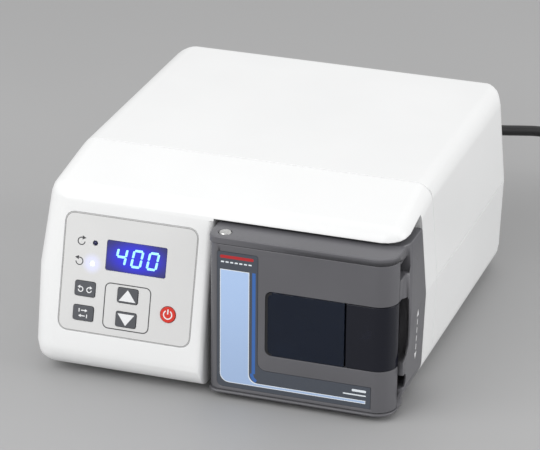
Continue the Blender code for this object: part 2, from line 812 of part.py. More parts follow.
def make_latch_strike():
    """A plate on the head's floor whose front lip the latch arms snap behind."""
    plan = [
        (92.2, CAVITY_FLOOR - GAP),
        (92.2, -108.6),
        (93.4, -108.6),
        (93.4, CAVITY_FLOOR - GAP - 2.0),
        (99.5, CAVITY_FLOOR - GAP - 2.0),
        (99.5, CAVITY_FLOOR - GAP),
    ]
    piece("latch_strike", prism(plan, "Z", 34, 73), steel())


def make_occlusion_bed():
    half = CAVITY_HALF_HEIGHT - 0.5
    right = 91.0
    corner_r = 9.0
    corner_x = 17.5
    outline = [
        (right, AXIS_Z - half),
        (right, AXIS_Z - TRACK_R),
        *arc((AXIS_X, AXIS_Z), TRACK_R, 270, 90, 20),
        (right, AXIS_Z + TRACK_R),
        (right, AXIS_Z + half),
        *arc((corner_x, AXIS_Z + half - corner_r), corner_r, 90, 180, 3),
        *arc((corner_x, AXIS_Z - half + corner_r), corner_r, 180, 270, 3),
    ]
    bed = prism(outline, "Y", *BED_Y)
    knuckle_space = block((0, 12.2), (-115, -105.6), (0, 110))
    finish = material("bed_grey", (0.2, 0.2, 0.21), 0.4)
    piece("occlusion_bed", cut(bed, knuckle_space), finish)


def make_tube_clamps():
    """Blocks with a V that hold the tube where it passes the ports."""
    for name, z, sign in (("tube_clamp_upper", 76.6, 1), ("tube_clamp_lower", 31.6, -1)):
        far = z + sign * 8.5
        outline = [
            (-108.5, z),
            (-97.5, z),
            (-97.5, far),
            (-100.5, far),
            (-103.0, far - sign * 2.6),
            (-105.5, far),
            (-108.5, far),
        ]
        piece(name, prism(outline, "X", 100.6, 105.8), black_plastic())


# ---------------------------------------------------------------- rotor and drive
def roller_centres():
    for i in range(ROLLER_COUNT):
        angle = math.tau * (i + 0.5) / ROLLER_COUNT
        x = AXIS_X + ROLLER_CIRCLE_R * math.cos(angle)
        z = AXIS_Z + ROLLER_CIRCLE_R * math.sin(angle)
        yield i + 1, (x, z)


def make_rotor_discs():
    axis = (AXIS_X, AXIS_Z)
    origin = (AXIS_X, 0, AXIS_Z)
    low, high = ROTOR_Y
    front = cylinder(axis, DISC_R, "Y", low, low + DISC_THICKNESS, 36)
    front = cut(front, cylinder(axis, SHAFT_R + GAP, "Y", low - 1, low + 5, 20))
    rear = joined(
        cylinder(axis, DISC_R, "Y", high - DISC_THICKNESS, high, 36),
        cylinder(axis, 11, "Y", low + DISC_THICKNESS + GAP, high - 1, 24),
    )
    rear = cut(rear, cylinder(axis, SHAFT_R + GAP, "Y", low - 1, high + 1, 20))
    for _, centre in roller_centres():
        front = cut(front, cylinder(centre, ROLLER_PIN_R + GAP, "Y", low - 1, low + 5, 12))
        rear = cut(rear, cylinder(centre, ROLLER_PIN_R + GAP, "Y", high - 5, high + 1, 12))
    finish = material("rotor_black", (0.03, 0.03, 0.03), 0.35)
    piece("rotor_front_disc", front, finish, origin)
    piece("rotor_rear_disc", rear, finish, origin)
    cap_profile = [
        (0, low - 2.4),
        (4.2, low - 2.4),
        (5.5, low - 1.6),
        (6.0, low - GAP),
        (0, low - GAP),
    ]
    piece("rotor_hub_cap", turned(cap_profile, (AXIS_X, 0, AXIS_Z), "Y", 20), steel(), origin)


def make_rollers():
    low, high = ROTOR_Y
    inner = low + DISC_THICKNESS + GAP
    outer = high - DISC_THICKNESS - GAP
    finish = material("roller_white", (0.8, 0.8, 0.78), 0.35)
    for number, (x, z) in roller_centres():
        profile = [
            (ROLLER_PIN_R + GAP, inner),
            (ROLLER_R - 0.6, inner),
            (ROLLER_R, inner + 0.6),
            (ROLLER_R, outer - 0.6),
            (ROLLER_R - 0.6, outer),
            (ROLLER_PIN_R + GAP, outer),
        ]
        piece(f"roller_{number}", turned(profile, (x, 0, z), "Y", 18), finish, (x, 0, z))
        pin = cylinder((x, z), ROLLER_PIN_R, "Y", low + 0.1, high + 0.2, 12)
        piece(f"roller_pin_{number}", pin, steel(), (x, 0, z))


def make_shaft_and_bearings():
    axis = (AXIS_X, AXIS_Z)
    origin = (AXIS_X, 0, AXIS_Z)
    shaft = cylinder(axis, SHAFT_R, "Y", ROTOR_Y[0] + 0.1, -33.0, 20)
    piece("rotor_shaft", shaft, steel(), origin)
    flange_front = CAVITY_FLOOR + FLOOR_THICKNESS + GAP
    profile = [
        (13.3, -93.5),
        (18.0, -93.5),
        (18.0, flange_front),
        (30.0, flange_front),
        (30.0, flange_front + 4.5),
        (18.0, flange_front + 4.5),
        (18.0, -62.0),
        (13.3, -62.0),
    ]
    centre = (AXIS_X, 0, AXIS_Z)
    piece("bearing_housing", turned(profile, centre, "Y", 28), aluminium())
    for name, low in (("bearing_front", -93.0), ("bearing_rear", -70.5)):
        ring = [
            (SHAFT_R + GAP, low),
            (7.0, low),
            (7.4, low + 0.5),
            (11.4, low + 0.5),
            (11.8, low),
            (13.0, low),
            (13.0, low + 8),
            (SHAFT_R + GAP, low + 8),
        ]
        piece(name, turned(ring, centre, "Y", 24), steel())


def gear_outline(teeth, phase):
    """A spur gear's outline with straight flanks and enough backlash to run freely."""
    pitch = GEAR_MODULE * teeth / 2
    tip = pitch + 0.9 * GEAR_MODULE
    root = pitch - 1.15 * GEAR_MODULE
    step = 360 / teeth
    outline = []
    for i in range(teeth):
        middle = phase + i * step
        for share, radius in ((-0.32, root), (-0.11, tip), (0.11, tip), (0.32, root)):
            angle = math.radians(middle + share * step)
            outline.append((radius * math.cos(angle), radius * math.sin(angle)))
    return outline


def make_gears():
    pitch_sum = GEAR_MODULE * (GEAR_TEETH + PINION_TEETH) / 2
    motor_x = AXIS_X - pitch_sum
    low, high = GEAR_Y
    gear = [(AXIS_X + x, AXIS_Z + z) for x, z in gear_outline(GEAR_TEETH, 180)]
    wheel = joined(
        prism(gear, "Y", low, high), cylinder((AXIS_X, AXIS_Z), 10, "Y", low - 4, high - 1)
    )
    wheel = cut(wheel, cylinder((AXIS_X, AXIS_Z), SHAFT_R + GAP, "Y", low - 5, high + 1, 20))
    finish = material("gear_nylon", (0.75, 0.74, 0.68), 0.45)
    piece("drive_gear", wheel, finish, (AXIS_X, 0, AXIS_Z))
    half_step = 180 / PINION_TEETH
    pinion = [(motor_x + x, AXIS_Z + z) for x, z in gear_outline(PINION_TEETH, half_step)]
    small = cut(
        prism(pinion, "Y", low - 0.5, high + 0.5),
        cylinder((motor_x, AXIS_Z), 3.4, "Y", low - 2, high + 2, 16),
    )
    piece("motor_pinion", small, steel(), (motor_x, 0, AXIS_Z))
    shaft = cylinder((motor_x, AXIS_Z), 3.1, "Y", low - 2, BRACKET_Y[0] + 1.0, 16)
    piece("motor_shaft", shaft, steel(), (motor_x, 0, AXIS_Z))
    make_motor(motor_x)


def make_motor(motor_x):
    face = BRACKET_Y[1] + GAP
    body = rounded_rectangle((motor_x, AXIS_Z), (MOTOR_SIZE, MOTOR_SIZE), 6, 3)
    motor = joined(
        prism(body, "Y", face, face + 56),
        cylinder((motor_x, AXIS_Z), 18, "Y", BRACKET_Y[0] + 1.4, face + 1, 24),
    )
    piece("motor", motor, material("motor_black", (0.05, 0.05, 0.055), 0.4, 0.6))
    low = CASE_BOTTOM + WALL + GAP
    front, back = BRACKET_Y
    foot_end = back + 36
    top = 88
    profile = [
        (front, low),
        (foot_end, low),
        (foot_end, low + 3),
        (back, low + 3),
        (back, top),
        (front, top),
    ]
    bracket = prism(profile, "X", motor_x - 34, motor_x + 34)
    bracket = cut(bracket, cylinder((motor_x, AXIS_Z), 18.4, "Y", front - 2, back + 2, 24))
    piece("motor_bracket", bracket, material("plated_steel", (0.5, 0.5, 0.48), 0.4, 1.0))


# ---------------------------------------------------------------- back of the case
def make_power_supply():
    low = CASE_BOTTOM + WALL + GAP
    outline = rounded_rectangle((-62, 32), (62, 92), 1.5, 1)
    box = prism(outline, "Z", low, low + 36)
    terminals = block((-90, -34), (76, 88), (low, low + 16))
    piece("power_supply", joined(box, terminals), aluminium())


def make_power_inlet():
    """A mains inlet: a flange on the rear panel, and a socket with three pins."""
    flange = prism(rounded_rectangle((INLET_X, REAR_Z), (33, 24), 3, 2), "Y", 123.7, 125.9)
    body = prism(rounded_rectangle((INLET_X, REAR_Z), (27.2, 19.8), 2, 1), "Y", 106, 124)
    mouth = prism(rounded_rectangle((INLET_X, REAR_Z), (24.4, 17), 3, 1), "Y", 109, 130)
    inlet = cut(joined(flange, body), mouth)
    for x, z in inlet_pins():
        inlet = joined(inlet, block((x - 1, x + 1), (108, 121), (z - 2, z + 2)))
    piece("power_inlet", inlet, black_plastic())


def inlet_pins():
    return ((INLET_X - 7, REAR_Z - 2), (INLET_X + 7, REAR_Z - 2), (INLET_X, REAR_Z + 2.4))


def make_remote_socket():
    """A D-shaped socket for an outside start, stop and speed signal."""
    flange = prism(rounded_rectangle((REMOTE_X, REAR_Z), (39, 12.6), 1.5, 2), "Y", 123.7, 124.9)
    shell = [(-12.4, 3.9), (-11.2, -3.9), (11.2, -3.9), (12.4, 3.9)]
    outline = [(REMOTE_X + x, REAR_Z + z) for x, z in shell]
    body = prism(outline, "Y", 114, REMOTE_END)
    piece("remote_socket", joined(flange, body), steel())


def make_cord_connector():
    """The lead's connector: its nose fills the inlet, its strain relief tapers to the cord."""
    nose = prism(rounded_rectangle((INLET_X, REAR_Z), (23.6, 16.2), 2.6, 1), "Y", 110, 127)
    for x, z in inlet_pins():
        nose = cut(nose, block((x - 1.5, x + 1.5), (105, 122.5), (z - 2.5, z + 2.5)))
    grip = prism(rounded_rectangle((INLET_X, REAR_Z), (28, 20.5), 4, 2), "Y", 126.3, 148)
    profile = [(0, 146), (8.8, 146), (8.0, 152), (6.0, 156), (5.0, 176.5), (0, 176.5)]
    relief = turned(profile, (INLET_X, 0, REAR_Z), "Y", 14)
    piece("cord_connector", joined(nose, grip, relief), rubber())


def smooth_route(points, per_span):
    """Points along a Catmull-Rom curve through a route's own points."""
    route = [Vector(p) for p in points]
    route = [2 * route[0] - route[1], *route, 2 * route[-1] - route[-2]]
    smooth = []
    for a, b, c, d in zip(route, route[1:], route[2:], route[3:]):
        for i in range(per_span):
            t = i / per_span
            smooth.append(
                0.5
                * (
                    2 * b
                    + (c - a) * t
                    + (2 * a - 5 * b + 4 * c - d) * t**2
                    + (3 * b - a - 3 * c + d) * t**3
                )
            )
    smooth.append(route[-2])
    return smooth


def cord_run(name, route, per_span):
    curve = bpy.data.curves.new(name, "CURVE")
    curve.dimensions = "3D"
    curve.bevel_depth = CORD_D / 2000
    curve.bevel_resolution = 2
    curve.use_fill_caps = True
    spline = curve.splines.new("POLY")
    points = smooth_route(route, per_span)
    spline.points.add(len(points) - 1)
    for point, place in zip(spline.points, points):
        point.co = (*(place / 1000), 1)
    obj = bpy.data.objects.new(name, curve)
    bpy.context.scene.collection.objects.link(obj)
    curve.materials.append(rubber())


def make_cord():
    cord_run("cord_run", CORD_ROUTE, 2)
    cord_run("cord_tail", TAIL_ROUTE, 1)
    inner, outer = COIL_RING_R
    profile = [(inner, 0.1), (outer, 0.1), (outer, COIL_HEIGHT), (inner, COIL_HEIGHT)]
    piece("cord_coil", turned(profile, (*COIL_CENTRE, 0), "Z", 28), rubber())


def make_mains_plug():
    """A three-pin mains plug that lies flat beside the coil, its pins towards the front."""
    x, y, z = PLUG_PLACE
    profile = [(0, 0), (5.0, 0), (5.6, -14), (9, -17), (10.8, -20), (10.8, -24), (0, -24)]
    relief = moved(
        turned(profile, (0, 0, 0), "Z", 14),
        Matrix.Translation(PLUG_PLACE) @ Matrix.Rotation(-math.pi / 2, 4, "X"),
    )
    body = prism(rounded_rectangle((x, z), (27, 23.6), 7, 3), "Y", y - 44, y - 20)
    plug = joined(relief, body)
    for side in (-6.35, 6.35):
        blade = block((x + side - 0.8, x + side + 0.8), (y - 61, y - 43), (z - 1, z + 5.4))
        plug = joined(plug, blade)
    earth = cylinder((x, z - 6), 2.4, "Y", y - 64, y - 43, 12)
    piece("mains_plug", joined(plug, earth), rubber())


def main():
    clear_scene()
    make_front_bezel()
    make_top_cover()
    make_base_tray()
    make_feet()
    make_case_screws()
    make_rear_panel()
    make_keypad_overlay()
    make_keys()
    make_display()
    make_control_board()
    make_head_housing()
    make_hinge_pin()
    make_pump_door()
    make_door_label()
    make_door_window()
    make_latch_handle()
    make_latch_pin()
    make_latch_strike()
    make_occlusion_bed()
    make_tube_clamps()
    make_rotor_discs()
    make_rollers()
    make_shaft_and_bearings()
    make_gears()
    make_power_supply()
    make_power_inlet()
    make_remote_socket()
    make_cord_connector()
    make_cord()
    make_mains_plug()


main()
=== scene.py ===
"""Finish a bench-top peristaltic pump: shells, keypad, pump head, drive, mains lead and studio.

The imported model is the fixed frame, and every piece made here rides on one of its bodies.
Sizes are in millimetres unless a name ends in _M; meshes are turned into metres at the end.
"""

import json
import math

import bmesh
import bpy
from bpy.props import FloatProperty, FloatVectorProperty, IntProperty, PointerProperty
from mathutils import Matrix, Vector


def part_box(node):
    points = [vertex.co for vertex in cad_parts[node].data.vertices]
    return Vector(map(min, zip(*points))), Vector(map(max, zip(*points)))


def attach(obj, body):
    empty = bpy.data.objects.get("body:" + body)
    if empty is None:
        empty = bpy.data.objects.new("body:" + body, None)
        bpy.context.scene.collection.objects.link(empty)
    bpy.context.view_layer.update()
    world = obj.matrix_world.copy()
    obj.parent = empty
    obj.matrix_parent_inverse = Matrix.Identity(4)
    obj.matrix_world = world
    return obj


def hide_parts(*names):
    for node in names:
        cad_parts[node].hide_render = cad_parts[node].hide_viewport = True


bl_info = {
    "name": "Bench Pump Finisher",
    "version": (1, 0, 0),
    "blender": (4, 5, 0),
    "location": "View3D > Sidebar > Pump",
    "description": "Builds the visible surfaces of a bench-top peristaltic pump round its frame",
    "category": "Object",
}

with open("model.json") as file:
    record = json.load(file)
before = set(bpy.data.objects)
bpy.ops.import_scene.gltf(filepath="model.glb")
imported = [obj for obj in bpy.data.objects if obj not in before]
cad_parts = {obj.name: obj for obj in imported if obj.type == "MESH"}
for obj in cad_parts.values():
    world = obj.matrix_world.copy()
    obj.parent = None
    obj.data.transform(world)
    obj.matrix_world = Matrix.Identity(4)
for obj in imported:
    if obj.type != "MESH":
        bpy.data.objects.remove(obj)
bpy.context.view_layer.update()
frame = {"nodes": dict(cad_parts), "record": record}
RECORD = frame["record"]
BODY_OF = {node: body for body, nodes in RECORD["behaviour"]["bodies"].items() for node in nodes}

MM = 0.001

# The case's front leans back by this angle, and the keypad's own frame leans with it
FRONT_TILT = math.radians(14.4)
# Heights of the film's face and of the keys' faces in that frame, and the thickness of ink
OVERLAY_FRONT = -0.1
KEY_FRONT = 0.4
INK = 0.04
LABEL_INK = 0.02

# Where the shells part, and the faces of the head's two flanges that look at the door
PARTING_Z = 62.5
FLANGE_LOW, FLANGE_HIGH = 6.0, 100.0
# The label: where its upright part ends in x and its foot in z, and the fillet between them
LABEL_RIGHT, LABEL_FOOT_TOP, LABEL_FILLET = 29.0, 22.8, 5.0

# Places on the keypad, in its own frame: x to the right, y up the slope
DISPLAY_PLACE = (4.4, 12.7)
ICON_PLACES = {"clockwise": (-30.6, 18.8), "counterclockwise": (-31.0, 6.7)}
LIT_LAMP = (-22.9, 6.2)
KEY_FRAME_PLACE = (0.95, -17.3)
KEY_FRAME_SIZE = (29.2, 27.8)
KEYS = {
    "key_direction": (-26.0, -9.5),
    "key_int_ext": (-26.0, -24.2),
    "key_up": (1.0, -10.0),
    "key_down": (1.0, -24.4),
    "key_power": (26.9, -17.4),
}

# Mains lead, in millimetres: its run from the connector to the coil, the coil, and the tail
CORD_D = 7.0
CORD_ROUTE = (
    (62, 177, 57.5),
    (62, 190, 57.3),
    (65, 202, 55.8),
    (74, 212, 53.4),
    (85.5, 219, 51.2),
    (97.3, 225.2, 50.2),
    (108.2, 231, 48.9),
    (124, 238, 45.5),
    (142, 243, 38),
    (159, 245, 27.5),
    (175, 244.5, 16.5),
    (190, 243, 8.5),
    (199, 242.2, 5.2),
)
COIL_CENTRE = (225.0, 195.0)
COIL_RADII = (45.5, 38.5, 31.5)
COIL_LAYERS = (3.65, 10.65)
TAIL_ROUTE = (
    (270.5, 182, 10.9),
    (270.5, 168.4, 11.3),
    (270.5, 162, 11.6),
    (270.5, 156, 11.9),
    (270.5, 150.4, 12.0),
)

# Soft lights: place and size in metres, and share of the key light's power
SOFTBOXES = {
    "key_light": ((-0.8, -1.15, 1.2), (1.5, 1.1), 1.0),
    "top_light": ((0.1, 0.7, 1.5), (1.4, 1.0), 0.11),
    "side_light": ((1.7, 0.1, 0.75), (1.2, 0.9), 0.72),
    "front_light": ((0.5, -1.9, 0.9), (1.0, 0.7), 0.12),
}
LIGHT_AIM = Vector((0.02, 0.0, 0.06))

# Camera: place in metres, its turns in degrees and its lens in millimetres
CAMERA_PLACE = (0.54187, -1.63408, 0.81914)
CAMERA_PITCH, CAMERA_ROLL, CAMERA_HEADING = 66.1959, -0.4742, 18.7201
CAMERA_LENS = 203.47


# ---- settings a user would change
def colour_property(name, description, default):
    return FloatVectorProperty(
        name=name, description=description, subtype="COLOR", size=3, min=0.0, max=1.0, default=default
    )


def length_property(name, description, default_mm):
    return FloatProperty(
        name=name, description=description, default=default_mm * MM, min=0.0, unit="LENGTH", precision=5
    )


class PumpCaseSettings(bpy.types.PropertyGroup):
    colour: colour_property("Shell colour", "Colour of the moulded case", (0.86, 0.865, 0.865))
    roughness: FloatProperty(
        name="Shell roughness", description="How satin the case is", default=0.36, min=0.0, max=1.0
    )
    edge: length_property("Edge softness", "Round on the shells' cut edges", 0.35)
    panel_colour: colour_property("Panel colour", "Powder coat on the rear panel", (0.2, 0.2, 0.21))


class PumpKeypadSettings(bpy.types.PropertyGroup):
    film: colour_property("Film colour", "Colour of the keypad's printed film", (0.72, 0.72, 0.715))
    ink: colour_property("Ink colour", "Colour of the printed symbols and lines", (0.06, 0.06, 0.065))
    key: colour_property("Key colour", "Colour of the four oblong keys", (0.09, 0.094, 0.105))
    power: colour_property("Power key colour", "Colour of the round key", (0.72, 0.035, 0.02))
    digit: colour_property("Digit colour", "Light of the display's digits", (0.25, 0.6, 1.0))
    glow: FloatProperty(
        name="Digit strength", description="How bright the digits are", default=1.15, min=0.0, max=20.0
    )


class PumpHeadSettings(bpy.types.PropertyGroup):
    colour: colour_property("Head colour", "Colour of the moulded head and door", (0.126, 0.125, 0.136))
    edge: length_property("Edge softness", "Round on the head's and door's edges", 0.7)
    label: colour_property("Label colour", "Light blue field on the door's label", (0.43, 0.59, 0.88))
    label_ground: colour_property("Label ground", "Film under the label's print", (0.07, 0.08, 0.1))
    stripe: colour_property("Stripe colour", "Dark blue stripe on the label", (0.045, 0.15, 0.46))


class PumpCordSettings(bpy.types.PropertyGroup):
    colour: colour_property("Lead colour", "Colour of the mains lead's jacket", (0.012, 0.012, 0.013))
    sides: IntProperty(
        name="Round steps", description="Steps round the lead's jacket", default=5, min=2, max=16
    )


class PumpStageSettings(bpy.types.PropertyGroup):
    floor: colour_property("Floor colour", "Colour of the plain floor", (0.4, 0.4, 0.402))
    key_power: FloatProperty(
        name="Key light", description="Power of the large light", default=16.7, min=0.0, unit="POWER"
    )
    fill: FloatProperty(
        name="Room light", description="Strength of the even light all round", default=0.64, min=0.0
    )


# ---- frames on the object
def corners_of(node):
    """A node's low and high corners in millimetres."""
    return [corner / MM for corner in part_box(node)]


def centre_of(node):
    low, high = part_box(node)
    return (low + high) / 2 / MM


def leaning(depth):
    """The keypad's frame: its origin on the case's front face, raised along the normal by a depth."""
    normal = Vector((0, -math.cos(FRONT_TILT), math.sin(FRONT_TILT)))
    up = Vector((0, math.sin(FRONT_TILT), math.cos(FRONT_TILT)))
    film_middle = 0.4
    origin = centre_of("keypad_overlay") + normal * (film_middle + depth)
    turn = Matrix((Vector((1, 0, 0)), up, normal)).transposed().to_4x4()
    return Matrix.Translation(origin) @ turn


def upright(y):
    """A frame on a face that looks along -Y: x to the right, y up, z out of the face."""
    turn = Matrix(((1, 0, 0), (0, 0, -1), (0, 1, 0))).to_4x4()
    return Matrix.Translation((0, y, 0)) @ turn


def facing_back(x, y, z):
    """A frame on a face that looks along +Y, with z out of the face."""
    return Matrix.Translation((x, y, z)) @ Matrix.Rotation(-math.pi / 2, 4, "X")


# ---- modelling helpers
def mesh_from(name, bm):
    """A mesh with a bmesh's shape; the bmesh is used up."""
    mesh = bpy.data.meshes.new(name)
    bm.to_mesh(mesh)
    bm.free()
    return mesh


def joined(*parts):
    """Several bmeshes as one; each part is used up."""
    whole = bmesh.new()
    for part in parts:
        mesh = mesh_from("part", part)
        whole.from_mesh(mesh)
        bpy.data.meshes.remove(mesh)
    return whole


def placed(bm, matrix):
    bmesh.ops.transform(bm, verts=bm.verts, matrix=matrix)
    return bm


def shifted(bm, x, y, turn=0.0, z=0.0):
    return placed(bm, Matrix.Translation((x, y, z)) @ Matrix.Rotation(math.radians(turn), 4, "Z"))


def round_corners(bm, corners, radius, steps):
    bmesh.ops.bevel(
        bm, geom=corners, offset=radius, affect="VERTICES", segments=steps, profile=0.5, material=-1
    )
    return bm


def plate(size, radius=0.0, steps=5):
    """A flat rectangle with round corners, centred on the origin."""
    bm = bmesh.new()
    bmesh.ops.create_grid(bm, x_segments=1, y_segments=1, size=0.5)
    bmesh.ops.scale(bm, vec=(size[0], size[1], 1), verts=bm.verts)
    nearly_half = 0.499
    return round_corners(bm, bm.verts[:], min(radius, nearly_half * min(size)), steps) if radius else bm


def disc(radius, steps=32):
    bm = bmesh.new()
    bmesh.ops.create_circle(bm, cap_ends=True, radius=radius, segments=steps)
    return bm


def triangle(width, height):
    """A triangle that points up the y axis, centred on the origin."""
    bm = disc(1.0, 3)
    first = bm.verts[:][0].co
    to_top = math.pi / 2 - math.atan2(first.y, first.x)
    bmesh.ops.rotate(bm, verts=bm.verts, matrix=Matrix.Rotation(to_top, 3, "Z"))
    wide = max(v.co.x for v in bm.verts) - min(v.co.x for v in bm.verts)
    low = min(v.co.y for v in bm.verts)
    tall = max(v.co.y for v in bm.verts) - low
    bmesh.ops.translate(bm, verts=bm.verts, vec=(0, -low - tall / 2, 0))
    bmesh.ops.scale(bm, vec=(width / wide, height / tall, 1), verts=bm.verts)
    return bm


def spin(bm, angle, steps, whole):
    """Spins all of a bmesh about the z axis."""
    geom = [*bm.verts, *bm.edges]
    bmesh.ops.spin(
        bm, geom=geom, axis=(0, 0, 1), cent=(0, 0, 0), angle=angle, steps=steps, use_merge=whole
    )


def band(radius, width, start, sweep, steps=28):
    """A curved strip round the origin, angles in degrees."""
    bm = bmesh.new()
    bm.edges.new([bm.verts.new((radius + side * width / 2, 0, 0)) for side in (-1, 1)])
    spin(bm, math.radians(sweep), steps, abs(sweep) >= 360)
    bmesh.ops.rotate(bm, verts=bm.verts, matrix=Matrix.Rotation(math.radians(start), 3, "Z"))
    return bm


def outline_band(size, radius, width):
    """A printed line round a rounded rectangle."""
    bm = plate(size, radius)
    middle = bm.faces[:]
    bmesh.ops.inset_region(
        bm, faces=middle, thickness=width, use_even_offset=True, use_boundary=True
    )
    bmesh.ops.delete(bm, geom=middle, context="FACES_ONLY")
    return bm


def thickened(bm, depth=INK):
    """Raises flat faces into a closed solid of a given height along z."""
    bmesh.ops.remove_doubles(bm, verts=bm.verts, dist=0.0001)
    made = bmesh.ops.extrude_face_region(bm, geom=bm.faces[:], use_keep_orig=True)["geom"]
    top = [item for item in made if isinstance(item, bmesh.types.BMVert)]
    bmesh.ops.translate(bm, verts=top, vec=(0, 0, depth))
    bmesh.ops.recalc_face_normals(bm, faces=bm.faces)
    return bm


def turned(profile, steps=32):
    """A closed solid of revolution about z from a loop of (radius, height) points."""
    bm = bmesh.new()
    verts = [bm.verts.new((radius, 0, height)) for radius, height in profile]
    for first, second in zip(verts, verts[1:] + verts[:1]):
        if first.co.x > 0 or second.co.x > 0:
            bm.edges.new((first, second))
    spin(bm, math.tau, steps, True)
    bmesh.ops.remove_doubles(bm, verts=bm.verts, dist=0.0001)
    bmesh.ops.recalc_face_normals(bm, faces=bm.faces)
    return bm


def in_scene(name, data):
    obj = bpy.data.objects.new(name, data)
    bpy.context.scene.collection.objects.link(obj)
    return obj


def settle(obj, body, smooth_angle=50.0):
    """Smooth shading with flat faces kept flat, then the piece rides on its body."""
    obj.data.shade_smooth()
    obj.data.set_sharp_from_angle(angle=math.radians(smooth_angle))
    weighted = obj.modifiers.new("flat faces stay flat", "WEIGHTED_NORMAL")
    weighted.keep_sharp = True
    weighted.weight = 100
    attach(obj, body)
    return obj


def new_piece(name, bm, materials, body, smooth_angle=50.0):
    """Turns a bmesh in millimetres into a named piece in metres."""
    bmesh.ops.scale(bm, vec=(MM, MM, MM), verts=bm.verts)
    mesh = mesh_from(name, bm)
    obj = in_scene(name, mesh)
    for material in materials if isinstance(materials, list) else [materials]:
        mesh.materials.append(material)
    return settle(obj, body, smooth_angle)


def node_copy(node):
    """A CAD node's mesh in millimetres with its loose triangles merged into flat convex faces."""
    bm = bmesh.new()
    bm.from_mesh(frame["nodes"][node].data)
    bmesh.ops.scale(bm, vec=(1 / MM, 1 / MM, 1 / MM), verts=bm.verts)
    bmesh.ops.remove_doubles(bm, verts=bm.verts, dist=0.002)
    flat = math.radians(0.6)
    bmesh.ops.dissolve_limit(bm, angle_limit=flat, verts=bm.verts[:], edges=bm.edges[:])
    bmesh.ops.connect_verts_concave(bm, faces=bm.faces[:])
    return bm


def soften(bm, width, segments=2, spare=None, from_angle=32.0):
    """Rounds the sharp edges of a merged mesh, but for those that a test spares."""
    sharp = [
        edge
        for edge in bm.edges
        if len(edge.link_faces) == 2
        and edge.calc_face_angle() > math.radians(from_angle)
        and not (spare and spare(edge))
    ]
    if width and sharp:
        bmesh.ops.bevel(
            bm, geom=sharp, offset=width, affect="EDGES", segments=segments, profile=0.5, material=-1,
            loop_slide=True,
        )
    return bm


def finished(node, material, width=0.3, segments=2, spare=None):
    """A CAD node with softened edges and its own finish, which stands for the node."""
    bm = soften(node_copy(node), width, segments, spare)
    obj = new_piece(node + "_finish", bm, material, BODY_OF[node])
    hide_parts(node)
    return obj


# ---- shared shader groups
def shader_group(name, inputs, outputs):
    """An empty node group with named sockets, or None if it has been built already."""
    if name in bpy.data.node_groups:
        return None
    group = bpy.data.node_groups.new(name, "ShaderNodeTree")
    for label, kind, default in inputs:
        socket = group.interface.new_socket(name=label, in_out="INPUT", socket_type=kind)
        if default is not None:
            socket.default_value = default
    for label in outputs:
        group.interface.new_socket(name=label, in_out="OUTPUT", socket_type="NodeSocketFloat")
    group.nodes.new("NodeGroupInput").name = "in"
    group.nodes.new("NodeGroupOutput").name = "out"
    return group


def give(tree, socket, value):
    """Links a socket to an input, or sets the input to a plain value."""
    if isinstance(value, bpy.types.NodeSocket):
        tree.links.new(value, socket)
    else:
        socket.default_value = value


def feed(tree, node, sources):
    """Fills the named inputs of a node, each with a socket or a plain value."""
    for label, value in sources.items():
        give(tree, node.inputs[label], value)
    return node


def calculated(tree, kind, operation, values):
    node = tree.nodes.new(kind)
    node.operation = operation
    for socket, value in zip(node.inputs, values):
        give(tree, socket, value)
    return node


def noise(tree, vector, scale, detail=2.0, roughness=0.5):
    node = tree.nodes.new("ShaderNodeTexNoise")
    values = {"Vector": vector, "Scale": scale, "Detail": detail, "Roughness": roughness}
    return feed(tree, node, values).outputs["Fac"]


def ramp(tree, value, low, high, to_low=0.0, to_high=1.0):
    """Maps a value from one range to another with soft ends."""
    node = tree.nodes.new("ShaderNodeMapRange")
    node.interpolation_type = "SMOOTHSTEP"
    for socket, setting in zip(node.inputs, (value, low, high, to_low, to_high)):
        give(tree, socket, setting)
    return node.outputs["Result"]


def maths(tree, operation, first, second):
    return calculated(tree, "ShaderNodeMath", operation, (first, second)).outputs["Value"]


def vector_maths(tree, operation, *values):
    node = calculated(tree, "ShaderNodeVectorMath", operation, values)
    return node.outputs["Value" if operation == "LENGTH" else "Vector"]


def build_mould_grain():
    """Fine spark-eroded grain of a moulding, with a slow drift in tone."""
    group = shader_group(
        "mould_grain",
        [("Vector", "NodeSocketVector", None), ("Scale", "NodeSocketFloat", 1800.0)],
        ("Height", "Tone"),
    )
    if group:
        start, end = group.nodes["in"], group.nodes["out"]
        fine = noise(group, start.outputs["Vector"], start.outputs["Scale"], 3.0, 0.6)
        pebble = group.nodes.new("ShaderNodeTexVoronoi")
        feed(group, pebble, {label: start.outputs[label] for label in ("Vector", "Scale")})
        pebbles = maths(group, "MULTIPLY", pebble.outputs["Distance"], 0.35)
        height = maths(group, "ADD", fine, pebbles)
        slow = noise(group, start.outputs["Vector"], 14.0, 2.0, 0.5)
        feed(group, end, {"Height": height, "Tone": ramp(group, slow, 0.3, 0.7)})
    return bpy.data.node_groups["mould_grain"]


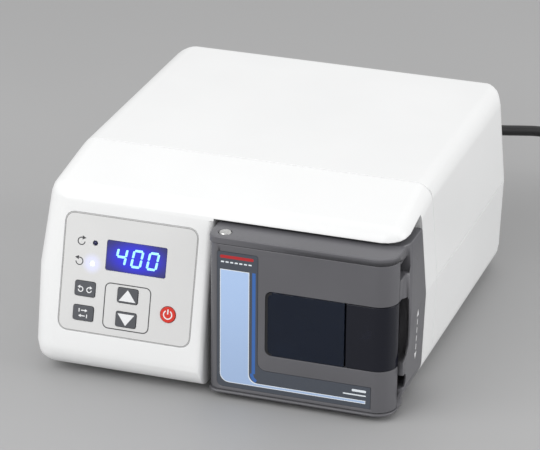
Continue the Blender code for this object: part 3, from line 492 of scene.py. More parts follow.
def build_handling_marks():
    """Faint wipes and finger marks that only change how satin a surface is."""
    group = shader_group(
        "handling_marks",
        [("Vector", "NodeSocketVector", None), ("Scale", "NodeSocketFloat", 30.0)],
        ("Mask", "Dust"),
    )
    if group:
        start, end = group.nodes["in"], group.nodes["out"]
        cloud = noise(group, start.outputs["Vector"], start.outputs["Scale"], 4.0, 0.55)
        patch = ramp(group, cloud, 0.45, 0.72)
        stretch = group.nodes.new("ShaderNodeMapping")
        skew = {"Scale": (1.0, 6.0, 1.6), "Rotation": (0.2, 0.3, 0.6)}
        feed(group, stretch, {"Vector": start.outputs["Vector"], **skew})
        wipe = ramp(group, noise(group, stretch.outputs["Vector"], 60.0, 3.0, 0.6), 0.5, 0.8)
        specks = ramp(group, noise(group, start.outputs["Vector"], 1500.0, 1.0, 0.4), 0.78, 0.86)
        feed(group, end, {"Mask": maths(group, "MULTIPLY", patch, wipe), "Dust": specks})
    return bpy.data.node_groups["handling_marks"]


def build_tool_lines():
    """Fine parallel lines left by turning, rolling or brushing."""
    group = shader_group(
        "tool_lines",
        [
            ("Vector", "NodeSocketVector", None),
            ("Stretch", "NodeSocketVector", (1.0, 1.0, 1.0)),
            ("Scale", "NodeSocketFloat", 600.0),
        ],
        ("Height", "Tone"),
    )
    if group:
        start, end = group.nodes["in"], group.nodes["out"]
        drawn = vector_maths(group, "MULTIPLY", start.outputs["Vector"], start.outputs["Stretch"])
        lines = noise(group, drawn, start.outputs["Scale"], 4.0, 0.65)
        stain = noise(group, start.outputs["Vector"], 45.0, 3.0, 0.5)
        feed(group, end, {"Height": lines, "Tone": ramp(group, stain, 0.35, 0.7)})
    return bpy.data.node_groups["tool_lines"]


# ---- materials
def grouped(tree, group, vector, values):
    node = tree.nodes.new("ShaderNodeGroup")
    node.node_tree = group
    return feed(tree, node, {"Vector": vector, **values})


def mixed(tree, share, first, second):
    """A colour between two colours; the first may be a socket."""
    node = tree.nodes.new("ShaderNodeMix")
    node.data_type = "RGBA"
    if not isinstance(first, bpy.types.NodeSocket):
        first = (*first, 1.0)
    return feed(tree, node, {"Factor": share, "A": first, "B": (*second, 1.0)}).outputs["Result"]


def toned(tree, share, colour, below, above):
    """A colour that drifts between two brightnesses of itself."""
    return mixed(tree, share, shade(colour, below), shade(colour, above))


def shade(colour, factor):
    return tuple(min(1.0, channel * factor) for channel in colour)


def blank_material(name):
    material = bpy.data.materials.new(name)
    material.use_nodes = True
    tree = material.node_tree
    shader = tree.nodes["Principled BSDF"]
    places = tree.nodes.new("ShaderNodeTexCoord").outputs["Object"]
    return material, tree, shader, places


def bumped(tree, shader, height, strength, depth_mm):
    bump = tree.nodes.new("ShaderNodeBump")
    feed(tree, bump, {"Strength": strength, "Distance": depth_mm * MM, "Height": height})
    tree.links.new(bump.outputs["Normal"], shader.inputs["Normal"])


def plastic(name, colour, roughness, grain=1800.0, depth=0.02, tone=0.05, marks=0.1, dust=0.02):
    """A moulded plastic: grain in its relief, a slow drift in its tone, wipes in its gloss."""
    material, tree, shader, places = blank_material(name)
    moulding = grouped(tree, build_mould_grain(), places, {"Scale": grain})
    handled = grouped(tree, build_handling_marks(), places, {})
    base = toned(tree, moulding.outputs["Tone"], colour, 1.0 - tone, 1.0 + tone)
    dusty = mixed(tree, handled.outputs["Dust"], base, shade(colour, 1.0 + 6 * dust))
    satin = ramp(tree, handled.outputs["Mask"], 0.0, 1.0, roughness, max(0.05, roughness - marks))
    feed(tree, shader, {"Base Color": dusty, "Roughness": satin})
    bumped(tree, shader, moulding.outputs["Height"], 0.35, depth)
    return material


def metal(name, colour, roughness, stretch=(1.0, 1.0, 1.0), scale=600.0, depth=0.005, tone=0.05):
    """A machined or plated metal with tool lines."""
    material, tree, shader, places = blank_material(name)
    lines = grouped(tree, build_tool_lines(), places, {"Stretch": stretch, "Scale": scale})
    base = toned(tree, lines.outputs["Tone"], colour, 1.0 - tone, 1.0 + tone)
    satin = ramp(tree, lines.outputs["Height"], 0.3, 0.7, roughness - 0.05, roughness + 0.06)
    feed(tree, shader, {"Base Color": base, "Roughness": satin, "Metallic": 1.0})
    bumped(tree, shader, lines.outputs["Height"], 0.25, depth)
    return material


def print_ink(name, colour, roughness=0.4):
    """Screen-printed ink: a faint uneven lay-down in tone and gloss."""
    material, tree, shader, places = blank_material(name)
    grain = noise(tree, places, 2600.0, 2.0, 0.5)
    base = toned(tree, ramp(tree, grain, 0.3, 0.7), colour, 0.97, 1.03)
    satin = ramp(tree, grain, 0.3, 0.7, roughness - 0.05, roughness + 0.08)
    feed(tree, shader, {"Base Color": base, "Roughness": satin})
    return material


def gloss(name, colour, roughness=0.08, alpha=1.0, depth=0.006, shine=0.5):
    """A glossy moulding or film with the slightest waviness and faint wipes."""
    material, tree, shader, places = blank_material(name)
    wiped = grouped(tree, build_handling_marks(), places, {"Scale": 45.0}).outputs["Mask"]
    base = toned(tree, wiped, colour, 1.0, 1.6)
    satin = ramp(tree, wiped, 0.0, 1.0, roughness, roughness + 0.14)
    feed(tree, shader, {"Base Color": base, "Roughness": satin})
    feed(tree, shader, {"Alpha": alpha, "Specular IOR Level": shine})
    bumped(tree, shader, noise(tree, places, 120.0, 1.0, 0.4), 0.2, depth)
    return material


def light_ink(name, colour, strength, core):
    """A lit surface, uneven from fine noise in its diffuser."""
    material, tree, shader, places = blank_material(name)
    spread = ramp(tree, noise(tree, places, 1500.0, 2.0, 0.5), 0.25, 0.75)
    lit = mixed(tree, spread, shade(colour, 0.85), core)
    base = toned(tree, spread, colour, 0.5, 0.7)
    feed(tree, shader, {"Base Color": base, "Roughness": 0.25})
    feed(tree, shader, {"Emission Color": lit, "Emission Strength": strength})
    return material


def distance_from(tree, places, point_mm, stretch=(1.0, 1.0, 1.0)):
    """How far each place is from a point, in metres, with its axes stretched."""
    offset = vector_maths(tree, "SUBTRACT", places, Vector(point_mm) * MM)
    return vector_maths(tree, "LENGTH", vector_maths(tree, "MULTIPLY", offset, stretch))


def film_material(colour):
    """The keypad's printed film, with a painted pool of the lit lamp's light round it: a bluish tint in
    its colour and a faint glow.
    """
    material = plastic("keypad_film", colour, 0.48, grain=2600.0, depth=0.008, tone=0.02, marks=0.14)
    tree = material.node_tree
    shader = tree.nodes["Principled BSDF"]
    places = next(node for node in tree.nodes if node.type == "TEX_COORD").outputs["Object"]
    lamp = leaning(OVERLAY_FRONT) @ Vector((*LIT_LAMP, 0))
    # painted light: within a few millimetres of the lit lamp the film is tinted bluish and glows
    # faintly
    painted_lamp_pool = ramp(tree, distance_from(tree, places, lamp), 0.0015, 0.0075, 1.0, 0.0)
    base = shader.inputs["Base Color"].links[0].from_socket
    lamp_pool_colour = mixed(tree, maths(tree, "MULTIPLY", painted_lamp_pool, 0.75), base, (0.78, 0.8, 1.0))
    glow = mixed(tree, painted_lamp_pool, (0.0, 0.0, 0.0), (0.1, 0.11, 0.3))
    feed(tree, shader, {"Base Color": lamp_pool_colour, "Emission Color": glow, "Emission Strength": 0.5})
    return material


def display_material():
    """The display's deep blue window, with the digits' light painted into its colour and glow,
    brightest in its middle.
    """
    material, tree, shader, places = blank_material("display_blue")
    middle = leaning(OVERLAY_FRONT) @ Vector((*DISPLAY_PLACE, 0))
    reach = distance_from(tree, places, middle, (1.0, 1.9, 1.9))
    # painted light: colour and glow are brightest round the digits and fade outwards
    share = ramp(tree, reach, 0.008, 0.024, 1.0, 0.0)
    painted_digit_light = mixed(tree, share, (0.03, 0.03, 0.12), (0.02, 0.02, 0.34))
    glow = mixed(tree, share, (0.012, 0.013, 0.08), (0.02, 0.02, 0.42))
    satin = ramp(tree, noise(tree, places, 900.0, 2.0, 0.5), 0.3, 0.7, 0.1, 0.2)
    feed(tree, shader, {"Base Color": painted_digit_light, "Roughness": satin})
    feed(tree, shader, {"Emission Color": glow, "Emission Strength": 1.0})
    return material


def label_material(colour):
    """The label's light blue field, a little deeper towards its foot."""
    material, tree, shader, places = blank_material("label_light_blue")
    split = tree.nodes.new("ShaderNodeSeparateXYZ")
    tree.links.new(places, split.inputs["Vector"])
    fade = ramp(tree, split.outputs["Z"], 0.01, 0.085)
    base = toned(tree, fade, colour, 0.92, 1.08)
    grain = ramp(tree, noise(tree, places, 2400.0, 2.0, 0.5), 0.3, 0.7)
    lay = mixed(tree, maths(tree, "MULTIPLY", grain, 0.08), base, (0.9, 0.95, 1.0))
    feed(tree, shader, {"Base Color": lay, "Roughness": ramp(tree, grain, 0.0, 1.0, 0.3, 0.42)})
    return material


# ---- operators
class PumpOperator:
    bl_options = {"REGISTER", "UNDO"}


class PUMP_OT_case(PumpOperator, bpy.types.Operator):
    """Finish the case: front bezel, top cover, base tray, feet and screws"""

    bl_idname = "pump.case"
    bl_label = "Case"

    def execute(self, context):
        settings = context.scene.pump_case
        shell = plastic(
            "case_white", settings.colour, settings.roughness, depth=0.015, tone=0.012, marks=0.08
        )
        for node in ("front_bezel", "top_cover", "base_tray"):
            obj = finished(node, shell, settings.edge / MM)
            for crease in obj.data.edges:
                ends = [obj.data.vertices[i].co.z / MM for i in crease.vertices]
                if all(abs(z - PARTING_Z) < 0.05 for z in ends):
                    crease.use_edge_sharp = True
        black = (0.022, 0.022, 0.023)
        rubber = plastic("foot_rubber", black, 0.75, grain=1400.0, depth=0.05, tone=0.15)
        zinc = metal("zinc_screw", (0.6, 0.6, 0.58), 0.35, scale=1500.0)
        for side in ("front_left", "front_right", "rear_left", "rear_right"):
            finished("foot_" + side, rubber, 0.4)
            finished("case_screw_" + side, zinc, 0.15)
        return {"FINISHED"}


def turn_arrow(radius, width, clockwise):
    """A nearly closed arc with an arrow head at its top."""
    side = 1 if clockwise else -1
    arc = band(radius, width, 90 - side * 12, side * 278)
    head = triangle(2.4 * width + radius * 0.45, radius * 1.1)
    return joined(arc, shifted(head, side * radius * 0.78, radius * 0.96, -90 * side))


def digit(shape):
    """A seven-segment digit from the letters of its lit bars."""
    across, half, stroke = 5.5, 4.85, 1.45
    bars = {
        "a": (0, half, 0),
        "g": (0, 0, 0),
        "d": (0, -half, 0),
        "b": (across / 2, half / 2, 90),
        "c": (across / 2, -half / 2, 90),
        "f": (-across / 2, half / 2, 90),
        "e": (-across / 2, -half / 2, 90),
    }
    parts = []
    for letter in shape:
        x, y, turn = bars[letter]
        length = (half if turn else across) - 0.55
        parts.append(shifted(plate((length, stroke), stroke * 0.36, 2), x, y, turn))
    slant = Matrix.Identity(4)
    slant[0][1] = math.tan(math.radians(9))
    return placed(joined(*parts), slant)


class PUMP_OT_keypad(PumpOperator, bpy.types.Operator):
    """Finish the keypad: film, printed lines and symbols, lamps and display"""

    bl_idname = "pump.keypad"
    bl_label = "Keypad"

    def execute(self, context):
        settings = context.scene.pump_keypad
        finished("keypad_overlay", film_material(settings.film), 0.12, 1)
        ink = print_ink("film_ink", settings.ink)
        symbols = [
            shifted(turn_arrow(2.2, 0.62, name == "clockwise"), *place)
            for name, place in ICON_PLACES.items()
        ]
        symbols.append(shifted(outline_band(KEY_FRAME_SIZE, 3.6, 0.62), *KEY_FRAME_PLACE))
        self.printed("keypad_symbols", symbols, ink, "overlay")
        low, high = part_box("keypad_overlay")
        up_slope = (high.z - low.z) / MM / math.cos(FRONT_TILT)
        film_size = ((high.x - low.x) / MM - 0.5, up_slope - 0.7)
        border = print_ink("film_border", shade(settings.film, 0.3))
        self.printed("keypad_border", [outline_band(film_size, 5.5, 0.3)], border, "overlay")
        finished("display_window", display_material(), 0.15, 1)
        finished("display_module", plastic("display_body", (0.03, 0.03, 0.04), 0.5), 0.2)
        self.digits(settings)
        finished("led_clockwise", gloss("lamp_dark", (0.012, 0.014, 0.07), 0.15), 0.0)
        lit = light_ink("lamp_lit", (0.7, 0.8, 1.0), 1.3, (0.9, 0.94, 1.0))
        finished("led_counterclockwise", lit, 0.0)
        return {"FINISHED"}

    def printed(self, name, parts, material, slot):
        bm = placed(thickened(joined(*parts)), leaning(OVERLAY_FRONT))
        new_piece(name, bm, material, "case")

    def digits(self, settings):
        glow = light_ink("digit_light", settings.digit, settings.glow, (0.42, 0.78, 1.0))
        pitch, middle = 9.9, 0.6
        shapes = ("fgbc", "abcdef", "abcdef")
        x, y = DISPLAY_PLACE
        parts = [
            shifted(digit(shape), x + middle + (index - 1) * pitch, y)
            for index, shape in enumerate(shapes)
        ]
        self.printed("display_digits", parts, glow, "display_window")


class PUMP_OT_keys(PumpOperator, bpy.types.Operator):
    """Finish the five keys and the white marks on them"""

    bl_idname = "pump.keys"
    bl_label = "Keys"

    def execute(self, context):
        settings = context.scene.pump_keypad
        grey = plastic("key_grey", settings.key, 0.42, grain=2600.0, depth=0.012, tone=0.06)
        red = plastic("key_red", settings.power, 0.34, grain=2600.0, depth=0.01, tone=0.05)
        white = print_ink("key_marks", (0.86, 0.87, 0.88), 0.45)
        marks = {
            "key_direction": [
                shifted(turn_arrow(1.45, 0.62, False), -2.7, -0.4),
                shifted(turn_arrow(1.45, 0.62, True), 2.7, -0.4),
            ],
            "key_int_ext": self.source_marks(),
            "key_up": [shifted(triangle(10.6, 7.0), 0, 0.1)],
            "key_down": [shifted(triangle(10.6, 7.0), 0, -0.1, 180)],
            "key_power": [band(2.55, 0.72, 122, 296), shifted(plate((0.75, 3.1), 0.3), 0, 1.75)],
        }
        top = leaning(KEY_FRONT)
        for node, place in KEYS.items():
            finished(node, red if node == "key_power" else grey, 0.22)
            mark = placed(thickened(shifted(joined(*marks[node]), *place)), top)
            new_piece(node + "_mark", mark, white, BODY_OF[node])
        return {"FINISHED"}

    def source_marks(self):
        """Two rows: an arrow that leaves a socket, and one that enters it."""
        parts = []
        for row, turn in ((1.65, -90), (-1.65, 90)):
            parts.append(shifted(plate((2.6, 0.62), 0.2), -0.1, row))
            parts.append(shifted(triangle(1.9, 1.7), 1.9 if turn < 0 else -2.1, row, turn))
            parts.append(shifted(plate((0.62, 2.2), 0.2), -2.6 if turn < 0 else 2.4, row))
        return parts


class PUMP_OT_head(PumpOperator, bpy.types.Operator):
    """Finish the pump head: housing, hinge pin, strike and the marks on its side"""

    bl_idname = "pump.head"
    bl_label = "Pump head"

    def execute(self, context):
        settings = context.scene.pump_head
        grey = plastic("head_grey", settings.colour, 0.34, grain=2000.0)
        finished("head_housing", grey, settings.edge / MM, 3, self.is_thin)
        pin = metal("pin_steel", (0.62, 0.62, 0.61), 0.3, scale=900.0)
        for node in ("hinge_pin", "latch_pin", "latch_strike"):
            finished(node, pin, 0.12)
        self.side_marks()
        return {"FINISHED"}

    def is_thin(self, edge):
        """Whether an edge is on the notches' thin wall, the knuckle's seat or a gap by the door."""
        hinge = centre_of("hinge_pin")
        seat_radius = 9.8
        low, high = FLANGE_LOW, FLANGE_HIGH
        tests = (
            lambda p: p.x > 104 and -111.4 < p.y < -94,
            lambda p: (p.xy - hinge.xy).length < seat_radius and low - 0.1 < p.z < high + 0.1,
            lambda p: p.y < -109 and min(abs(p.z - low), abs(p.z - high)) < 0.05,
            lambda p: p.x < -1.5 and -120.5 < p.y < -118 and 3 < p.z < low + 0.1,
        )
        return any(all(test(v.co) for v in edge.verts) for test in tests)

    def side_marks(self):
        """A white line with an arrow at each end, up the head's right side."""
        white = print_ink("side_print", (0.85, 0.85, 0.86))
        bottom, half_top, half_bottom = 5.0, 115.0, 113.0
        lean = math.atan((half_top - half_bottom) / (PARTING_Z - bottom))
        middle_z, along_y = 43.0, -86.0
        reach = half_top - (PARTING_Z - middle_z) * math.tan(lean)
        parts = [shifted(plate((1.0, 3.6), 0.3), 0, 5.4 * (i - 1.5)) for i in range(4)]
        parts.append(shifted(triangle(4.0, 4.2), 0, 14.0))
        parts.append(shifted(triangle(4.0, 4.2), 0, -14.0, 180))
        turn = Matrix(((0, 0, 1), (1, 0, 0), (0, 1, 0))).to_4x4()
        place = Matrix.Translation((reach, along_y, middle_z)) @ Matrix.Rotation(lean, 4, "Y") @ turn
        new_piece("side_marks", placed(thickened(joined(*parts)), place), white, "case")


class PUMP_OT_door(PumpOperator, bpy.types.Operator):
    """Finish the door: its moulding, label, window, a ring of painted shade round the window, and latch
    handle
    """

    bl_idname = "pump.door"
    bl_label = "Door"

    def execute(self, context):
        settings = context.scene.pump_head
        grey = plastic("door_grey", shade(settings.colour, 0.96), 0.42, grain=2000.0)
        finished("pump_door", grey, 0.45, spare=self.in_label_pocket)
        ground = print_ink("label_ground", settings.label_ground, 0.35)
        finished("door_label", ground, 0.0)
        self.label(settings)
        smoked = gloss("smoked_window", (0.005, 0.01, 0.024), 0.07, alpha=0.84, shine=0.36)
        finished("door_window", smoked, 0.2)
        self.shade_round_window()
        handle = gloss("handle_black", (0.006, 0.007, 0.014), 0.16, shine=0.36)
        finished("latch_handle", handle, 0.35)
        return {"FINISHED"}

    def in_label_pocket(self, edge):
        """Whether an edge belongs to the shallow pocket that the label lies in."""
        low, high = corners_of("door_label")
        reach = 0.6
        return all(
            v.co.y < high.y + reach
            and low.x - reach < v.co.x < high.x + reach
            and low.z - reach < v.co.z < high.z + reach
            and (v.co.x < LABEL_RIGHT + reach or v.co.z < LABEL_FOOT_TOP + LABEL_FILLET + reach)
            for v in edge.verts
        )

    def printed(self, name, bm, material, depth=LABEL_INK, lift=0.0):
        """A piece of print on the label's face."""
        face = upright(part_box("door_label")[0].y / MM - lift)
        new_piece(name, placed(thickened(bm, depth), face), material, "door")

    def label(self, settings):
        """Print on the label: a light blue field that runs into a stripe along the foot."""
        top = 84.2
        white = print_ink("label_white", (0.85, 0.9, 0.95))
        self.printed("label_border", self.field(top, 0.0, 5.5), white)
        blue = label_material(settings.label)
        self.printed("label_field", self.field(top, 0.45, 5.2), blue, 0.015, LABEL_INK)
        stripe = print_ink("label_stripe", settings.stripe)
        bend_z, width = 19.5, 2.1
        upper = shifted(plate((width, top - bend_z)), 26.4, (top + bend_z) / 2)
        curve = shifted(band(5.3, width, 180, 62, 14), 30.65, bend_z)
        self.printed("label_dark_stripe", joined(upper, curve), stripe)
        red = print_ink("label_red", (0.5, 0.02, 0.025))
        self.printed("label_badge", shifted(plate((20.4, 1.9), 0.7), 15.9, 92.2), red)
        bars = [shifted(plate((1.9, 0.9), 0.2), 7.2 + 2.8 * i, 88.9) for i in range(7)]
        bars.append(shifted(plate((8.6, 1.5), 0.5), 91.0, 19.4))
        bars.append(shifted(plate((14.0, 0.8), 0.3), 88.3, 16.6))
        self.printed("label_bars", joined(*bars), white)

    def field(self, top, margin, corner):
        """An upright plate whose foot turns into a thin stripe to the right, drawn in by a margin."""
        left, right, foot = 5.7 + margin, 23.6 - margin, 11.6 + margin
        stripe_end, stripe_top = 95.0 - margin, 13.6 - margin
        top -= margin
        bm = bmesh.new()
        lower = [(left, foot), (stripe_end, foot), (stripe_end, stripe_top)]
        corners = [*lower, (right, stripe_top), (right, top), (left, top)]
        verts = [bm.verts.new((x, z, 0)) for x, z in corners]
        bm.faces.new(verts)
        return round_corners(bm, [verts[0], verts[3]], corner, 8)

    def shade_round_window(self):
        """A dark ring round the window's left, top and bottom, on the side of the glass: painted shade
        of the window's recess.
        """
        low, high = corners_of("door_window")
        past = 8.0
        size = (high.x - low.x + past, high.z - low.z)
        ring = outline_band(size, 3.8, 1.3)
        cut = [v for v in ring.verts if v.co.x > size[0] / 2 - past]
        bmesh.ops.delete(ring, geom=cut, context="VERTS")
        centre = ((low.x + high.x + past) / 2, (low.z + high.z) / 2)
        place = upright(low.y) @ Matrix.Translation((*centre, 0))
        # painted shade: a near-black ring where the window's recess is in shade
        rubber = plastic("painted_shade_black", (0.008, 0.008, 0.01), 0.35, depth=0.01)
        shade_ring = placed(thickened(ring, 0.08), place)
        new_piece("window_painted_shade", shade_ring, rubber, "door")


class PUMP_OT_rotor(PumpOperator, bpy.types.Operator):
    """Finish what turns and slides behind the door"""

    bl_idname = "pump.rotor"
    bl_label = "Rotor and bed"

    def execute(self, context):
        bed = plastic("bed_grey", (0.16, 0.16, 0.17), 0.38, grain=1600.0)
        finished("occlusion_bed", bed)
        black = plastic("rotor_black", (0.03, 0.03, 0.032), 0.3, depth=0.015)
        for node in ("rotor_front_disc", "rotor_rear_disc"):
            finished(node, black)
        clamp = plastic("clamp_black", (0.02, 0.02, 0.022), 0.35)
        for node in ("tube_clamp_upper", "tube_clamp_lower"):
            finished(node, clamp, 0.25)
        ivory = (0.78, 0.78, 0.76)
        white = plastic("roller_white", ivory, 0.3, grain=1200.0, depth=0.008, tone=0.04)
        steel = metal("turned_steel", (0.58, 0.58, 0.57), 0.28, stretch=(1.0, 14.0, 1.0))
        for number in range(1, 4):
            finished(f"roller_{number}", white, 0.12)
            finished(f"roller_pin_{number}", steel, 0.15)
        for node in ("rotor_hub_cap", "rotor_shaft"):
            finished(node, steel, 0.2)
        return {"FINISHED"}


class PUMP_OT_drive(PumpOperator, bpy.types.Operator):
    """Finish the gears, bearings, motor, power supply and control board inside"""

    bl_idname = "pump.drive"
    bl_label = "Drive and electrics"

    def execute(self, context):
        steel = metal("ground_steel", (0.6, 0.6, 0.59), 0.25, stretch=(1.0, 10.0, 1.0))
        for node in ("bearing_front", "bearing_rear", "motor_pinion", "motor_shaft"):
            finished(node, steel, 0.1)
        cast = metal("cast_aluminium", (0.72, 0.72, 0.74), 0.42, scale=900.0, depth=0.03)
        finished("bearing_housing", cast, 0.25)
        nylon = plastic("gear_nylon", (0.72, 0.71, 0.64), 0.42, depth=0.015)
        finished("drive_gear", nylon, 0.08, 1)
        paint = plastic("motor_black", (0.03, 0.03, 0.033), 0.38, grain=1000.0, depth=0.03)
        finished("motor", paint, 0.5)
        plated = metal("plated_sheet", (0.52, 0.52, 0.49), 0.36, stretch=(8.0, 1.0, 1.0))
        finished("motor_bracket", plated, 0.25)
        sheet = metal("supply_sheet", (0.7, 0.7, 0.71), 0.4, stretch=(1.0, 8.0, 1.0))
        finished("power_supply", sheet, 0.4)
        green = (0.015, 0.12, 0.045)
        board = plastic("board_green", green, 0.4, grain=700.0, depth=0.03, tone=0.2)
        finished("control_board", board, 0.1, 1)
        return {"FINISHED"}


class PUMP_OT_rear(PumpOperator, bpy.types.Operator):
    """Finish the back: panel, its screws, mains inlet and remote socket"""

    bl_idname = "pump.rear"
    bl_label = "Rear panel"

    def execute(self, context):
        settings = context.scene.pump_case
        grey = settings.panel_colour
        coat = plastic("panel_coat", grey, 0.5, grain=900.0, depth=0.05, tone=0.06)
        finished("rear_panel", coat, 0.2, 1)
        moulded = plastic("inlet_black", (0.018, 0.018, 0.02), 0.36)
        finished("power_inlet", moulded, 0.25)
        self.screws()
        self.remote_socket()
        return {"FINISHED"}

    def screws(self):
        """Pan-head screws with a cross recess at the panel's corners and beside the sockets."""
        zinc = metal("panel_screws", (0.6, 0.6, 0.58), 0.3, scale=1500.0)
        low, high = corners_of("rear_panel")
        inset = 9.0
        heads = [
            (x, high.y, z, 2.6)
            for x in (low.x + inset, high.x - inset)
            for z in (low.z + inset, high.z - inset)
        ]
        z = centre_of("power_inlet").z
        inlet_low, inlet_high = corners_of("power_inlet")
        heads += [(x, high.y, z, 2.2) for x in (inlet_low.x - 4.0, inlet_high.x + 4.0)]
        z = centre_of("remote_socket").z
        remote_low, remote_high = corners_of("remote_socket")
        y = remote_high.y - 1.5
        heads += [(x, y, z, 1.9) for x in (remote_low.x + 3.1, remote_high.x - 3.1)]
        parts = []
        foot, wall, top = 0.02, 0.5, 1.3
        for x, y, z, r in heads:
            outline = [(0, foot), (r, foot), (r, wall), (r * 0.8, 1.05), (r * 0.35, top), (0, top)]
            dome = turned(outline, 24)
            for turn in (0, 90):
                slot = thickened(plate((r * 1.1, r * 0.26)), 0.05)
                dome = joined(dome, shifted(slot, 0, 0, turn, top - 0.02))
            parts.append(placed(dome, facing_back(x, y, z)))
        new_piece("rear_panel_screws", joined(*parts), zinc, "case")

    def remote_socket(self):
        shell = metal("socket_shell", (0.6, 0.6, 0.58), 0.3, scale=1200.0)
        finished("remote_socket", shell, 0.3)
        middle = centre_of("remote_socket")
        face = facing_back(middle.x, corners_of("remote_socket")[1].y, middle.z)
        black = plastic("socket_insert", (0.015, 0.015, 0.017), 0.4)
        insert = thickened(plate((20.5, 5.6), 1.6), 0.05)
        new_piece("remote_socket_insert", placed(insert, face), black, "case")
        gold = metal("contact_gold", (0.75, 0.55, 0.22), 0.25, scale=2000.0)
        pins = []
        for row, count in ((1.42, 8), (-1.42, 7)):
            for i in range(count):
                x = 2.77 * (i - (count - 1) / 2)
                pins.append(shifted(thickened(band(0.42, 0.3, 0, 360, 12), 0.04), x, row, 0, 0.05))
        new_piece("remote_socket_contacts", placed(joined(*pins), face), gold, "case")


class PUMP_OT_cord(PumpOperator, bpy.types.Operator):
    """Make the mains lead with its coil, its connector and its plug"""

    bl_idname = "pump.cord"
    bl_label = "Mains lead"

    def execute(self, context):
        settings = context.scene.pump_cord
        jacket = plastic("lead_jacket", settings.colour, 0.38, grain=1500.0, depth=0.02, tone=0.1)
        rubber = plastic("lead_moulding", settings.colour, 0.5, grain=1200.0, depth=0.05, tone=0.1)
        connector = finished("cord_connector", rubber, 0.6)
        plug = self.plug(rubber)
        curve = bpy.data.curves.new("mains_lead", "CURVE")
        curve.dimensions = "3D"
        curve.bevel_depth = CORD_D / 2 * MM
        curve.bevel_resolution = settings.sides
        curve.use_fill_caps = True
        spline = curve.splines.new("POLY")
        points = lead_points()
        spline.points.add(len(points) - 1)
        for point, place in zip(spline.points, points):
            point.co = (*(place * MM), 1)
        lead = in_scene("mains_lead", curve)
        curve.materials.append(jacket)
        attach(lead, "case")
        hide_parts("cord_run", "cord_tail", "cord_coil")
        return {"FINISHED"}

    def plug(self, rubber):
        """The plug's moulding and, as a second finish, its three pins."""
        brass = metal("plug_pins", (0.7, 0.66, 0.55), 0.28, stretch=(1.0, 8.0, 1.0))
        bm = soften(node_copy("mains_plug"), 0.5)
        pin_length = 20.0
        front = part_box("mains_plug")[0].y / MM + pin_length
        for face in bm.faces:
            if face.calc_center_median().y < front - 0.5:
                face.material_index = 1
        plug = new_piece("mains_plug_finish", bm, [rubber, brass], "case")
        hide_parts("mains_plug")
        return plug


def smooth_step(share):
    share = max(0.0, min(1.0, share))
    return share * share * (3 - 2 * share)


def coil_points():
    """The coil's turns: three on the floor stepping inwards, then up and three stepping out."""
    steps_per_turn = 36
    turns = 5.25
    step_share = 0.16
    climb_from, climb_over = 2.68, 0.34
    radii = [*COIL_RADII, *reversed(COIL_RADII)]
    points = []
    for i in range(int(turns * steps_per_turn) + 1):
        turn = i / steps_per_turn
        index = min(int(turn), len(radii) - 1)
        following = radii[min(index + 1, len(radii) - 1)]
        share = smooth_step((turn - index - (1 - step_share)) / step_share)
        radius = radii[index] + share * (following - radii[index])
        climb = smooth_step((turn - climb_from) / climb_over)
        height = COIL_LAYERS[0] + climb * (COIL_LAYERS[1] - COIL_LAYERS[0])
        angle = math.pi / 2 - math.tau * turn
        across, along = radius * math.cos(angle), radius * math.sin(angle)
        points.append(Vector((COIL_CENTRE[0] + across, COIL_CENTRE[1] + along, height)))
    return points


def smooth_route(points, per_span):
    """Points along a Catmull-Rom curve through a route's own points."""
    route = [Vector(p) for p in points]
    route = [2 * route[0] - route[1], *route, 2 * route[-1] - route[-2]]
    smooth = []
    for a, b, c, d in zip(route, route[1:], route[2:], route[3:]):
        for i in range(per_span):
            t = i / per_span
            cubic = 2 * b + (c - a) * t
            cubic += (2 * a - 5 * b + 4 * c - d) * t**2
            cubic += (3 * b - a - 3 * c + d) * t**3
            smooth.append(cubic / 2)
    smooth.append(route[-2])
    return smooth


def lead_points():
    """The whole lead: from the connector down to the coil, round it, and out to the plug."""
    coil = coil_points()
    run = smooth_route([*CORD_ROUTE, coil[0], coil[2], coil[4]], 4)
    tail = smooth_route([coil[-5], coil[-3], coil[-1], *TAIL_ROUTE], 4)
    return [*run, *coil[5:-5], *tail]


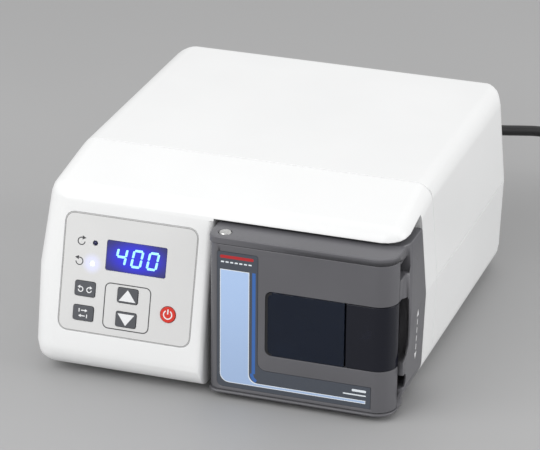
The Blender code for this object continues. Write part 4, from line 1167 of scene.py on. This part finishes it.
class PUMP_OT_stage(PumpOperator, bpy.types.Operator):
    """Make the floor, the lights and the camera"""

    bl_idname = "pump.stage"
    bl_label = "Stage"

    def execute(self, context):
        settings = context.scene.pump_stage
        self.floor(settings)
        for name, (place, size, share) in SOFTBOXES.items():
            self.softbox(name, place, size, settings.key_power * share)
        world = bpy.data.worlds.new("studio")
        world.use_nodes = True
        tree = world.node_tree
        feed(tree, tree.nodes["Background"], {"Color": (1.0,) * 4, "Strength": settings.fill})
        context.scene.world = world
        context.scene.view_settings.view_transform = "Standard"
        self.camera(context.scene)
        return {"FINISHED"}

    def floor(self, settings):
        width = 12.0
        floor = in_scene("floor", mesh_from("floor", plate((width, width))))
        material, tree, shader, places = blank_material("floor_paper")
        drift = ramp(tree, noise(tree, places, 3.0, 2.0, 0.5), 0.3, 0.7)
        base = toned(tree, drift, settings.floor, 0.985, 1.015)
        feed(tree, shader, {"Base Color": base, "Roughness": 0.55})
        floor.data.materials.append(material)

    def softbox(self, name, place, size, power):
        light = bpy.data.lights.new(name, "AREA")
        light.shape = "RECTANGLE"
        light.size, light.size_y = size
        light.energy = power
        obj = in_scene(name, light)
        obj.location = place
        obj.rotation_euler = (LIGHT_AIM - Vector(place)).to_track_quat("-Z", "Y").to_euler()

    def camera(self, scene):
        """A long lens from the front right, looking down on the keypad and the head."""
        data = bpy.data.cameras.new("camera")
        data.sensor_width = 36.0
        data.lens = CAMERA_LENS
        data.clip_end = 100.0
        camera = in_scene("camera", data)
        camera.location = CAMERA_PLACE
        turns = (CAMERA_PITCH, CAMERA_ROLL, CAMERA_HEADING)
        camera.rotation_euler = [math.radians(turn) for turn in turns]
        scene.camera = camera


class PUMP_PT_panel(bpy.types.Panel):
    bl_label = "Bench Pump"
    bl_idname = "PUMP_PT_panel"
    bl_space_type = "VIEW_3D"
    bl_region_type = "UI"
    bl_category = "Pump"

    def draw(self, context):
        layout = self.layout
        for name, group in SETTINGS.items():
            box = layout.box()
            settings = getattr(context.scene, name)
            for label in group.__annotations__:
                box.prop(settings, label)
        for operator in OPERATORS:
            layout.operator(operator.bl_idname)


SETTINGS = {
    "pump_case": PumpCaseSettings,
    "pump_keypad": PumpKeypadSettings,
    "pump_head": PumpHeadSettings,
    "pump_cord": PumpCordSettings,
    "pump_stage": PumpStageSettings,
}
OPERATORS = (
    PUMP_OT_stage,
    PUMP_OT_cord,
    PUMP_OT_case,
    PUMP_OT_keypad,
    PUMP_OT_keys,
    PUMP_OT_head,
    PUMP_OT_door,
    PUMP_OT_rotor,
    PUMP_OT_drive,
    PUMP_OT_rear,
)


def register():
    for group in (*SETTINGS.values(), *OPERATORS, PUMP_PT_panel):
        bpy.utils.register_class(group)
    for name, group in SETTINGS.items():
        setattr(bpy.types.Scene, name, PointerProperty(type=group))


def unregister():
    for name in SETTINGS:
        delattr(bpy.types.Scene, name)
    for group in (PUMP_PT_panel, *OPERATORS, *SETTINGS.values()):
        bpy.utils.unregister_class(group)


def main():
    register()
    for operator in OPERATORS:
        getattr(bpy.ops.pump, operator.bl_idname.split(".")[1])()


if __name__ == "__main__":
    main()
